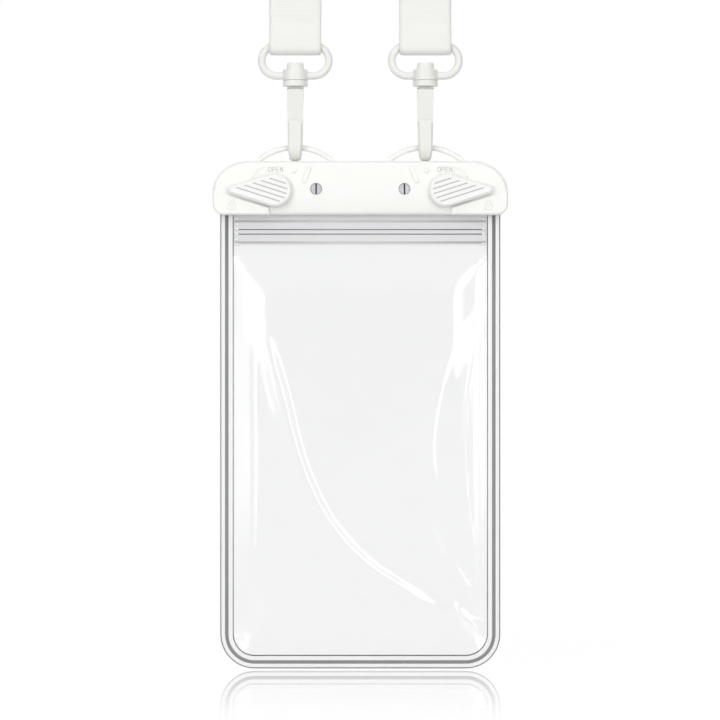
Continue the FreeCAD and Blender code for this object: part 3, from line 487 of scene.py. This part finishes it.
def add_mesh(name, verts, faces, body, material):
    """A smooth closed piece, its faces turned outward, that rides on a body."""
    mesh = bpy.data.meshes.new(name)
    mesh.from_pydata(verts, [], faces)
    mesh.validate()
    mesh.materials.append(material)
    mesh.shade_smooth()
    piece = placed(name, mesh)
    work = bmesh.new()
    work.from_mesh(mesh)
    bmesh.ops.recalc_face_normals(work, faces=work.faces)
    work.to_mesh(mesh)
    work.free()
    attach(piece, body)
    return piece


def tube_faces(start, rings, around):
    """The faces and both ends of a tube, whose places run from start, ring after ring."""
    faces = []
    for ring in range(rings - 1):
        first = start + ring * around
        for number in range(around):
            after = (number + 1) % around
            faces.append((first + number, first + after,
                          first + around + after, first + around + number))
    last = start + (rings - 1) * around
    return faces + [tuple(range(start, start + around)), tuple(range(last, last + around))]


def add_spline(data, kind, places):
    """A new spline of a curve, by its places."""
    spline = data.splines.new(kind)
    spline.points.add(len(places) - 1)
    for point, place in zip(spline.points, places):
        point.co = (*place, 1)
    return spline


def curve_mesh(name, data):
    """The mesh that a curve makes."""
    drawn = bpy.data.objects.new(name, data)
    mesh = bpy.data.meshes.new_from_object(drawn)
    mesh.name = name
    bpy.data.objects.remove(drawn)
    return mesh


def camera():
    """A long lens straight in front, framed as the photograph is."""
    data = bpy.data.cameras.new("camera")
    data.type = "PERSP"
    data.sensor_width = SENSOR
    data.lens = SENSOR * CAMERA_AWAY / VIEW_SPAN
    data.clip_start, data.clip_end = CAMERA_RANGE
    eye = placed("camera", data)
    eye.location = (VIEW_X, -CAMERA_AWAY, VIEW_TOP - VIEW_SPAN / 2)
    eye.rotation_euler = (math.pi / 2, 0, 0)
    bpy.context.scene.camera = eye


def strap_line():
    """Points along the strap's centreline, over its loop from ring to ring."""
    half = [(-STRAND_X, 0, STRAP_FOOT), (-STRAND_X, 0, ARCH_LOW), (-ARCH_IN, 0, ARCH_TOP)]
    route = half + [(-x, y, z) for x, y, z in reversed(half)]
    data = bpy.data.curves.new("strap_line", "CURVE")
    data.dimensions = "3D"
    data.resolution_u = 60
    spline = add_spline(data, "NURBS", route)
    spline.order_u = 3
    spline.use_endpoint_u = True
    line = curve_mesh("strap_line", data)
    points = [vertex.co.copy() for vertex in line.vertices]
    bpy.data.meshes.remove(line)
    return points


def spaced(points, step):
    """The same line with its points a step apart."""
    lengths = [0.0]
    for here, there in zip(points, points[1:]):
        lengths.append(lengths[-1] + (there - here).length)
    count = max(2, round(lengths[-1] / step))
    out = []
    index = 0
    for number in range(count + 1):
        want = lengths[-1] * number / count
        while index < len(points) - 2 and lengths[index + 1] < want:
            index += 1
        gap = lengths[index + 1] - lengths[index]
        share = (want - lengths[index]) / gap if gap else 0
        out.append(points[index].lerp(points[index + 1], share))
    return out


def eased(points, rounds):
    """The same line with its corners softened, its ends kept."""
    for _ in range(rounds):
        softer = [points[0]]
        for before, here, after in zip(points, points[1:], points[2:]):
            softer.append(here * 0.5 + (before + after) * 0.25)
        points = softer + [points[-1]]
    return points


def smooth(share):
    """Eases a share from 0 to 1."""
    share = min(1.0, max(0.0, share))
    return share * share * (3 - 2 * share)


def hem(side):
    """The strap's end: down in front of the ring's bar, under it and up behind."""
    x = side * STRAND_X
    radius = HEM_R + STRAP_T / 2
    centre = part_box("neck_strap")[0][2] + radius + STRAP_T / 2
    top = centre + HEM_RISE
    points = [Vector((x, 0, top)), Vector((x, -radius, centre))]
    for number in range(1, HEM_STEPS + 1):
        angle = math.pi + math.pi * number / HEM_STEPS
        points.append(Vector((x, radius * math.cos(angle), centre + radius * math.sin(angle))))
    return points + [Vector((x, STRAP_T, top)), Vector((x, STRAP_T, top + HEM_TAIL))], top


def strap_turn(point):
    """The direction of the strap's width at a place along it."""
    angle = math.pi / 2 * smooth((point.z - TWIST_BOTTOM) / (TWIST_TOP - TWIST_BOTTOM))
    side = 1 if point.x < 0 else -1
    return Vector((side * math.cos(angle), math.sin(angle), 0))


def strap_profile():
    """Places round the strap's section: across and deep, each from -1 to 1."""
    steps = 14
    widest = 0.97
    rounding = 0.45
    front = []
    for number in range(steps + 1):
        across = widest * (2 * number / steps - 1)
        front.append((across, rounding * abs(across) ** 10 - 1.0))
    back = [(across, -deep) for across, deep in reversed(front)]
    return front + [(1.0, 0.0)] + back + [(-1.0, 0.0)]


def ribbon(points, profile):
    """Places round the strap at each point of its line, and how far along each point is."""
    verts, along = [], [0.0]
    for index, point in enumerate(points):
        before = points[max(0, index - 1)]
        after = points[min(len(points) - 1, index + 1)]
        if index:
            along.append(along[-1] + (point - before).length)
        way = (after - before).normalized()
        wide = strap_turn(point)
        wide = (wide - way * wide.dot(way)).normalized()
        thick = way.cross(wide)
        rib = 0.5 + 0.5 * math.cos(2 * math.pi * along[-1] / RIB_PITCH)
        for across, deep in profile:
            flat = 1 - abs(across) ** 6
            raised = deep * (STRAP_T / 2 - RIB_DEPTH * (1 - rib) * flat)
            verts.append(point + wide * across * STRAP_W / 2 + thick * raised)
    return verts, along


def strap():
    """The woven strap as one ribbed ribbon, hemmed and sewn round both rings."""
    line = strap_line()
    left, top = hem(-1)
    right, _ = hem(1)
    middle = [point for point in line if point.z > top + HEM_JOIN]
    points = eased(spaced(list(reversed(left)) + middle + right, STRAP_STEP), STRAP_ROUNDS)
    profile = strap_profile()
    verts, along = ribbon(points, profile)
    faces = tube_faces(0, len(points), len(profile))
    thread = moulded("thread", (0.66, 0.66, 0.62), (0.74, 0.74, 0.70), roughness=0.6,
                     grain=2200.0, strength=0.4)
    sewn = [stitching(name, side, top, thread) for side, name in SIDES]
    piece = add_mesh("neck_strap_webbing", verts, faces, "neck_strap", webbing())
    weave = piece.data.uv_layers.new(name="weave")
    for loop in piece.data.loops:
        ring, place = divmod(loop.vertex_index, len(profile))
        weave.data[loop.index].uv = (profile[place][0] * STRAP_W / 2 / MM, along[ring] / MM)
    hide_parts("neck_strap")


def stitching(name, side, top, material):
    """A crossed box of stitches that holds one hem's tail, on the strap's back."""
    half = STRAP_W / 2 - STITCH_IN
    low, high = top + STITCH_IN_END, top + HEM_TAIL - STITCH_IN_END
    tail_back = 1.5 * STRAP_T
    corners = [Vector((side * STRAND_X + x, tail_back, z))
               for x, z in ((-half, low), (half, low), (half, high), (-half, high))]
    runs = list(zip(corners, corners[1:] + corners[:1]))
    runs += [(corners[0], corners[2]), (corners[1], corners[3])]
    verts, faces = [], []
    for first, last in runs:
        count = round((last - first).length / STITCH_PITCH)
        for number in range(count):
            ends = [first.lerp(last, (number + share) / count) for share in STITCH_SPAN]
            faces += tube_faces(len(verts), len(STITCH_SHAPE), THREAD_SIDES)
            verts += stitch(*ends)
    piece = add_mesh("stitching_" + name, verts, faces, "neck_strap", material)
    return piece


def stitch(start, end):
    """Places round a thread that comes up, lies along the strap and goes down again."""
    out = Vector((0, 1, 0))
    across = (end - start).normalized().cross(out)
    places = []
    for share, rise, size in STITCH_SHAPE:
        centre = start.lerp(end, share) + out * rise * THREAD_R
        for number in range(THREAD_SIDES):
            angle = 2 * math.pi * number / THREAD_SIDES
            places.append(centre + (across * math.cos(angle) + out * math.sin(angle)) * THREAD_R * size)
    return places


def inset_of(x, z):
    """How far a place is inside the pouch's outline, whose foot has round corners."""
    out_x = abs(x) - (POUCH_HALF - POUCH_R)
    out_z = (POUCH_FOOT + POUCH_R) - z
    if out_x > 0 and out_z > 0:
        return POUCH_R - math.hypot(out_x, out_z)
    return min(POUCH_HALF - abs(x), z - POUCH_FOOT)


def half_width(z):
    """The pouch's half width at a height."""
    drop = POUCH_FOOT + POUCH_R - z
    if drop <= 0:
        return POUCH_HALF
    return POUCH_HALF - POUCH_R + math.sqrt(max(0.0, POUCH_R ** 2 - drop ** 2))


def soft_least(first, second):
    """The smaller of two distances, rounded off where they are nearly equal."""
    blend = max(CORNER_BLEND - abs(first - second), 0.0) / CORNER_BLEND
    return max(0.0, min(first, second) - blend * blend * CORNER_DROP)


def crease_lines(creases):
    """Each crease as a height, two widths and a tree of close points with directions."""
    lines = []
    for height, sharp, soft, places in creases:
        line = spaced([Vector((x * MM, 0, z * MM)) for x, z in places], CREASE_COARSE)
        line = spaced(eased(line, CREASE_ROUNDS), CREASE_FINE)
        finder = kdtree.KDTree(len(line))
        for index, point in enumerate(line):
            finder.insert(point, index)
        finder.balance()
        lines.append((height * MM, sharp * MM, soft * MM, line, finder))
    return lines


def crease_height(lines, place):
    """How far the creases lift a film at a place: steep on one side, soft on the other."""
    total = 0.0
    for height, sharp, soft, line, finder in lines:
        near, index, away = finder.find(place)
        if away > soft * CREASE_REACH:
            continue
        last = len(line) - 1
        way = line[min(last, index + 1)] - line[max(0, index - 1)]
        side = way.x * (place.z - near.z) - way.z * (place.x - near.x)
        width = sharp if side > 0 else soft
        fade = smooth(index / last / CREASE_START) * smooth((last - index) / last / CREASE_END)
        total += height * fade * math.exp(-(away / width) ** 2)
    return total


def dish_rise(inner):
    """How far the film has risen at a distance in from its pocket's edge."""
    rise = 0.0
    for (near, first), (far, second) in zip(DISH_SLOPES, DISH_SLOPES[1:]):
        span = min(max(inner / MM - near, 0.0), far - near)
        slope = first + (second - first) * span / (far - near)
        rise += span * (first + slope) / 2
    return rise * MM


def film_lift(x, z, lines, waves_at):
    """How far a film stands out from its flat plane at a place."""
    sides, top = inset_of(x, z) - EDGE_W, DISH_TOP - z
    if min(sides, top) <= 0:
        return 0.0
    inner = soft_least(sides, top)
    wave = 0.0
    for across, down, shift, height in WAVES:
        wave += noise.noise(Vector((x * across, waves_at + shift, z * down))) * height
    lip = LIP_H * math.exp(-((inner - LIP_IN) / LIP_W) ** 2)
    creases = crease_height(lines, Vector((x, 0, z))) * smooth(inner / CREASE_EASE)
    lift = dish_rise(inner) + wave * smooth(inner / WAVE_EASE) + lip + creases
    return max(0.0, min(lift, LIFT_MOST))


def sheet_faces(down, over):
    """The faces of a thin sheet: its outer and its inner side, and the rim that joins them.

    Each side has down + 1 rows of over + 1 places, and the outer side comes first.
    """
    wide = over + 1
    shift = (down + 1) * wide
    faces = []
    for row in range(down):
        for column in range(over):
            first = row * wide + column
            face = (first, first + 1, first + wide + 1, first + wide)
            faces.append(face)
            faces.append(tuple(place + shift for place in reversed(face)))
    rim = [(place, place + 1) for place in range(over)]
    rim += [(down * wide + place + 1, down * wide + place) for place in range(over)]
    rim += [((row + 1) * wide, row * wide) for row in range(down)]
    rim += [(row * wide + over, (row + 1) * wide + over) for row in range(down)]
    return faces + [(second, first, first + shift, second + shift) for first, second in rim]


def film(name, side, lines, waves_at, replaced, material):
    """A film as a closed thin sheet, puffed over the pocket and creased as it hangs."""
    down = round((POUCH_TOP - POUCH_FOOT) / FILM_STEP)
    over = round(2 * POUCH_HALF / FILM_STEP)
    outer, inner = [], []
    for row in range(down + 1):
        z = POUCH_TOP + (POUCH_FOOT - POUCH_TOP) * row / down
        half = half_width(z)
        for column in range(over + 1):
            x = half * (2 * column / over - 1)
            lift = film_lift(x, z, lines, waves_at)
            outer.append((x, side * (FILM_Y + lift), z))
            inner.append((x, side * (FILM_Y - FILM_T + FILM_AIR + lift), z))
    piece = add_mesh(name, outer + inner, sheet_faces(down, over), "case", material)
    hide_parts(replaced)


def u_line(inset, steps=14):
    """Places down the pouch's left side, round its foot and up the right, with outward ways."""
    top = CLAMP[0][2] + LINE_TUCK
    side = POUCH_HALF - inset
    foot = POUCH_FOOT + inset
    radius = POUCH_R - inset
    centre_x, centre_z = side - radius, foot + radius
    places = [(-side, top, -1.0, 0.0)]
    for number in range(steps + 1):
        angle = math.pi + math.pi / 2 * number / steps
        way = (math.cos(angle), math.sin(angle))
        places.append((-centre_x + radius * way[0], centre_z + radius * way[1], *way))
    return places + [(-x, z, -way_x, way_z) for x, z, way_x, way_z in reversed(places)]


def level_line(z, left, right):
    """A level line across the pouch, with upward ways."""
    return [(left, z, 0.0, 1.0), (right, z, 0.0, 1.0)]


def crimp_lines():
    """The short level crimps at both ends of the zip."""
    lines = []
    for side, _ in SIDES:
        left, right = sorted(side * (ZIP_HALF - end) for end in CRIMP_ENDS)
        for number in range(CRIMP_COUNT):
            lines.append(level_line(ZIP_FOOT + CRIMP_UP - number * CRIMP_PITCH, left, right))
    return lines


def beads(name, side, lines, width, height, material):
    """Low rounded ridges along lines on a film, sunk a little into it."""
    verts, faces = [], []
    for line in lines:
        faces += tube_faces(len(verts), len(line), len(LINE_SHAPE))
        for x, z, way_x, way_z in line:
            for across, out in LINE_SHAPE:
                verts.append((x + way_x * across * width, side * (FILM_Y + out * height),
                              z + way_z * across * width))
    piece = add_mesh(name, verts, faces, "case", material)


def pouch_lines():
    """The rim, weld and inner lines round the pouch, the rim and inner ones near-black as painted
    shade, and the zip's lines and crimped ends.
    """
    dark = moulded("weld_grey", (0.22, 0.22, 0.225), (0.26, 0.26, 0.265), roughness=0.3)
    # Painted shade: the near-black rim and inner lines stand in for the shade that the welded edge's
    # rounded rims catch
    rim = moulded("rim_painted_shade", (0.10, 0.10, 0.105), (0.13, 0.13, 0.135), roughness=0.3)
    pale = moulded("zip_band_grey", (0.54, 0.54, 0.55), (0.60, 0.60, 0.61), roughness=0.35)
    white = moulded("crimp_white", (0.86, 0.86, 0.86), (0.92, 0.92, 0.92), roughness=0.3)
    around = (("_rim_line", RIM_LINE, rim), ("_weld_line", WELD_LINE, dark),
              ("_inner_line", INNER_LINE, rim))
    across = (("_zip_lines", ZIP_LINES, dark), ("_zip_bands", ZIP_BANDS, pale))
    for side, face in FACES:
        for title, (inset, width, height), material in around:
            beads(face + title, side, [u_line(inset)], width, height, material)
        for title, (rises, width, height), material in across:
            lines = [level_line(ZIP_FOOT + rise, -ZIP_HALF, ZIP_HALF) for rise in rises]
            beads(face + title, side, lines, width, height, material)
        beads(face + "_zip_crimps", side, crimp_lines(), CRIMP_W, CRIMP_H, white)


def both(*names):
    """The left and right node of each name."""
    return [name + side for name in names for side in ("_left", "_right")]


def dress(names, material, sharp=SHARP):
    """Gives CAD nodes their finish, smooth except across sharp edges."""
    for name in names:
        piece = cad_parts[name]
        piece.data.materials.clear()
        piece.data.materials.append(material)
        piece.data.shade_smooth()
        piece.data.set_sharp_from_angle(angle=math.radians(sharp))


def shade(name, material, chosen):
    """Paints shade on some of a node's faces with a second, darker material."""
    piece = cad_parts[name]
    piece.data.materials.append(material)
    for polygon in piece.data.polygons:
        if chosen(piece.matrix_world @ polygon.center, piece.matrix_world.to_3x3() @ polygon.normal):
            polygon.material_index = 1


def shade_slots(material):
    """Paints shade into the clamp screws' slots with a dark material."""
    for name in both("clamp_screw"):
        low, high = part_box(name)
        middle = (low[0] + high[0]) / 2
        shade(name, material, lambda at, way: abs(at.x - middle) < SCREW_SLOT / 2 + SLOT_AIR
              and at.y > low[1] + SLOT_DEEP)


def shade_grooves(material):
    """Paints shade on the floors of the levers' finger grooves with a darker material."""
    for name in both("lever"):
        near, far = [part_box(name)[0][1] + deep for deep in GROOVE_DEEP]
        shade(name, material, lambda at, way: way.y < FACING_FRONT and near < at.y < far)


def finishes():
    """The CAD nodes' finishes, from the pouch to the smallest parts, and painted shade in the screws'
    slots and the levers' grooves.
    """
    dress(["edge_frame"],
          clear("welded_edge", (0.99, 0.99, 0.99), roughness=0.15, density=WELD_DENSITY))
    dress(["zip_front_strip", "zip_back_strip"],
          clear("zip_plastic", FROST_COLOUR, roughness=0.2, density=0.9))
    dress(["front_clamp_shell", "back_clamp_shell"],
          moulded("clamp_plastic", (0.90, 0.90, 0.875), (0.925, 0.925, 0.90), roughness=0.36))
    dress(both("lever"),
          moulded("lever_plastic", (0.90, 0.90, 0.88), (0.92, 0.92, 0.90), roughness=0.33),
          SHARP_SMALL)
    dress(both("ring", "swivel_rivet", "hook_body", "hook_gate"),
          moulded("hook_lacquer", (0.80, 0.80, 0.765), (0.83, 0.83, 0.795), roughness=0.34,
                  grain=500.0, strength=0.04, coat=0.15),
          SHARP_SMALL)
    dress(both("clamp_screw", "gate_pin", "lever_screw"),
          metal("steel", (0.80, 0.80, 0.84), roughness=0.25),
          SHARP_SMALL)
    # Painted shade: near-black steel in the slots stands in for the shade that falls in them
    shade_slots(metal("slot_shadow", (0.10, 0.10, 0.13), roughness=0.5))
    # Painted shade: a darker grey on the grooves' floors stands in for the shade in them
    shade_grooves(moulded("groove_shade", (0.52, 0.52, 0.49), (0.60, 0.60, 0.57), roughness=0.5))
    dress(["inner_clamp_bar"],
          moulded("bar_plastic", (0.80, 0.80, 0.79), (0.84, 0.84, 0.83), roughness=0.4))
    dress(["clamp_gasket"],
          moulded("gasket_foam", (0.62, 0.62, 0.62), (0.70, 0.70, 0.70), roughness=0.8,
                  grain=1600.0, strength=0.5))
    dress(both("lever_cam"),
          moulded("cam_plastic", (0.78, 0.78, 0.75), (0.82, 0.82, 0.79), roughness=0.35))


def strokes(name, lines, y, material):
    """Raised print on the clamp's face, drawn with fine round strokes."""
    data = bpy.data.curves.new(name, "CURVE")
    data.dimensions = "3D"
    data.bevel_depth = STROKE_W / 2
    data.bevel_resolution = 2
    data.use_fill_caps = True
    for line in lines:
        add_spline(data, "POLY", [(x, y, z) for x, z in line])
    data.materials.append(material)
    piece = placed(name, curve_mesh(name, data))
    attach(piece, "case")


def arc(x, z, half_x, half_z, start, end, steps):
    """Places along an arc of a circle or an oval, by angles in degrees."""
    angles = [math.radians(start + (end - start) * number / steps) for number in range(steps + 1)]
    return [(x + half_x * math.cos(angle), z + half_z * math.sin(angle)) for angle in angles]


def open_word(x, z, height):
    """The strokes of the word OPEN, centred on a place, in shares of a letter's size."""
    wide = height * LETTER_W
    half = wide * 0.42
    low, high = z - height / 2, z + height / 2
    o_x, p_x, e_x, n_x = [x + height * LETTER_STEP * place for place in (-1.5, -0.5, 0.5, 1.5)]
    bowl_foot = z - height * 0.02
    bowl = [(p_x + wide * 0.1, high), (p_x + wide * 0.45, high - height * 0.04),
            (p_x + wide * 0.5, high - height * 0.26), (p_x + wide * 0.4, bowl_foot)]
    return [arc(o_x, z, wide / 2, height / 2, 0, 360, 16),
            [(p_x - half, low), (p_x - half, high)] + bowl + [(p_x - wide * 0.4, bowl_foot)],
            [(e_x + half, low), (e_x - half, low), (e_x - half, high), (e_x + half, high)],
            [(e_x - half, z), (e_x + half * 0.7, z)],
            [(n_x - half, low), (n_x - half, high)],
            [(n_x - half, high), (n_x + half, low)],
            [(n_x + half, low), (n_x + half, high)]]


def padlock(x, z, size):
    """The strokes of a plain padlock, centred on a place, in shares of its size."""
    half = size * 0.46
    low, top = z - size * 0.5, z + size * 0.04
    body = [(x - half, low), (x + half, low), (x + half, top), (x - half, top), (x - half, low)]
    bow = half * 0.58
    bow_turn = arc(x, top + size * 0.2, bow, bow, 180, 0, 10)
    keyhole = [(x, z - size * 0.14), (x, z - size * 0.30)]
    return [body, [(x - bow, top)] + bow_turn + [(x + bow, top)], keyhole]


def marks():
    """The generic words and signs beside each lever."""
    ink = printed("mark_ink", (0.50, 0.49, 0.46))
    faint = printed("mark_faint", (0.70, 0.69, 0.66))
    signs = (("open_word_", open_word, OPEN_WORD, FACE_Y, ink),
             ("padlock_sign_", padlock, PADLOCK, PLATEAU_Y, faint))
    for side, name in SIDES:
        for title, draw, (inward, up, height), y, material in signs:
            lines = draw(side * (CLAMP[1][0] - inward), CLAMP[0][2] + up, height)
            strokes(title + name, lines, y, material)


def floor_paint():
    """White to look at, with a mirror image and a shadow that both fade outwards."""
    material, nodes, links, shader = tree("floor")
    calc = partial(math_node, nodes, links)
    ease = partial(eased_range, nodes, links)
    shader.inputs["Base Color"].default_value = (0.9, 0.9, 0.9, 1)
    shader.inputs["Roughness"].default_value = 0.6
    shader.inputs["Specular IOR Level"].default_value = 0.1
    white = node(nodes, "ShaderNodeEmission", Color=WHITE)
    gloss = node(nodes, "ShaderNodeBsdfGlossy", Color=WHITE, Roughness=0.012)
    x, y, _ = axes(nodes, links, node(nodes, "ShaderNodeNewGeometry").outputs["Position"])
    mirror = calc("MULTIPLY", ease(calc("ABSOLUTE", y), *MIRROR_DEEP, MIRROR_SHARE, 0.0),
                  ease(calc("ABSOLUTE", x), *MIRROR_WIDE, 1.0, 0.0))
    away = calc("SQRT", calc("ADD", calc("MULTIPLY", x, x), calc("MULTIPLY", y, y)))
    shadow = ease(away, *SHADOW_REACH, SHADOW_SHARE, 0.0)
    links.new(calc("MULTIPLY_ADD", shadow, SHADOW_LIFT, 1.0), white.inputs["Strength"])
    # What is looked at is this white; light that bounces off the floor meets plain paint
    shown = mixed(nodes, links, shadow, white.outputs["Emission"], shader.outputs["BSDF"])
    shown = mixed(nodes, links, mirror, shown, gloss.outputs["BSDF"])
    surface = mixed(nodes, links, seen_rays(nodes, links), shader.outputs["BSDF"], shown)
    links.new(surface, nodes["Material Output"].inputs["Surface"])
    return material


def floor():
    """A white floor just under the pouch."""
    z = POUCH_FOOT - FLOOR_DROP
    corners = [(x * FLOOR_HALF, y * FLOOR_HALF, z) for x, y in ((-1, -1), (1, -1), (1, 1), (-1, 1))]
    mesh = bpy.data.meshes.new("floor")
    mesh.from_pydata(corners, [], [(0, 1, 2, 3)])
    mesh.materials.append(floor_paint())
    placed("floor", mesh)


def surroundings():
    """White where the object is looked past, and a softly lit room for the rest."""
    world = bpy.data.worlds.new("studio")
    bpy.context.scene.world = world
    world.use_nodes = True
    nodes, links = world.node_tree.nodes, world.node_tree.links
    calc = partial(math_node, nodes, links)
    ease = partial(eased_range, nodes, links)
    _, deep, up = axes(nodes, links, node(nodes, "ShaderNodeTexCoord").outputs["Generated"])
    # Reflections see a dimmer room than the one that lights the object, white behind it
    # and overhead
    gloss_ray = node(nodes, "ShaderNodeLightPath").outputs["Is Glossy Ray"]
    straight = seen_rays(nodes, links, ("Is Camera Ray", "Is Transmission Ray"))
    mirrored = calc("MULTIPLY", gloss_ray, ease(deep, *WHITE_EASE, 0.0, 1.0))
    strength = node(nodes, "ShaderNodeMix", data_type="FLOAT")
    links.new(gloss_ray, strength.inputs["Factor"])
    links.new(calc("ADD", ease(deep, *FRONT_EASE, ROOM_SIDE, ROOM_FRONT),
                   ease(deep, *BACK_EASE, 0.0, ROOM_BACK)), strength.inputs["A"])
    links.new(ease(up, *CEILING_EASE, ROOM_GLOSS, 1.0), strength.inputs["B"])
    room = nodes["Background"]
    room.inputs["Color"].default_value = WHITE
    links.new(strength.outputs["Result"], room.inputs["Strength"])
    white = node(nodes, "ShaderNodeBackground", Color=WHITE, Strength=1.0)
    surface = mixed(nodes, links, calc("MAXIMUM", straight, mirrored),
                    room.outputs["Background"], white.outputs["Background"])
    links.new(surface, nodes["World Output"].inputs["Surface"])


def lamp(name, place, wide, high, watts):
    """A soft box aimed at the middle of the object."""
    data = bpy.data.lights.new(name, "AREA")
    data.shape = "RECTANGLE"
    data.size = wide
    data.size_y = high
    data.energy = watts
    box = placed(name, data)
    box.location = place
    box.rotation_euler = (LAMP_AIM - Vector(place)).to_track_quat("-Z", "Y").to_euler()


def main():
    """Builds the scene, piece by piece."""
    bpy.context.scene.view_settings.view_transform = "Standard"
    camera()
    strap()
    sheet = film_sheet()
    film("front_film_sheet", -1, crease_lines(FRONT_CREASES), FRONT_WAVES_AT, "front_film", sheet)
    film("back_film_sheet", 1, crease_lines(BACK_CREASES), BACK_WAVES_AT, "back_film", sheet)
    pouch_lines()
    finishes()
    marks()
    floor()
    surroundings()
    for settings in LAMPS:
        lamp(*settings)


main()
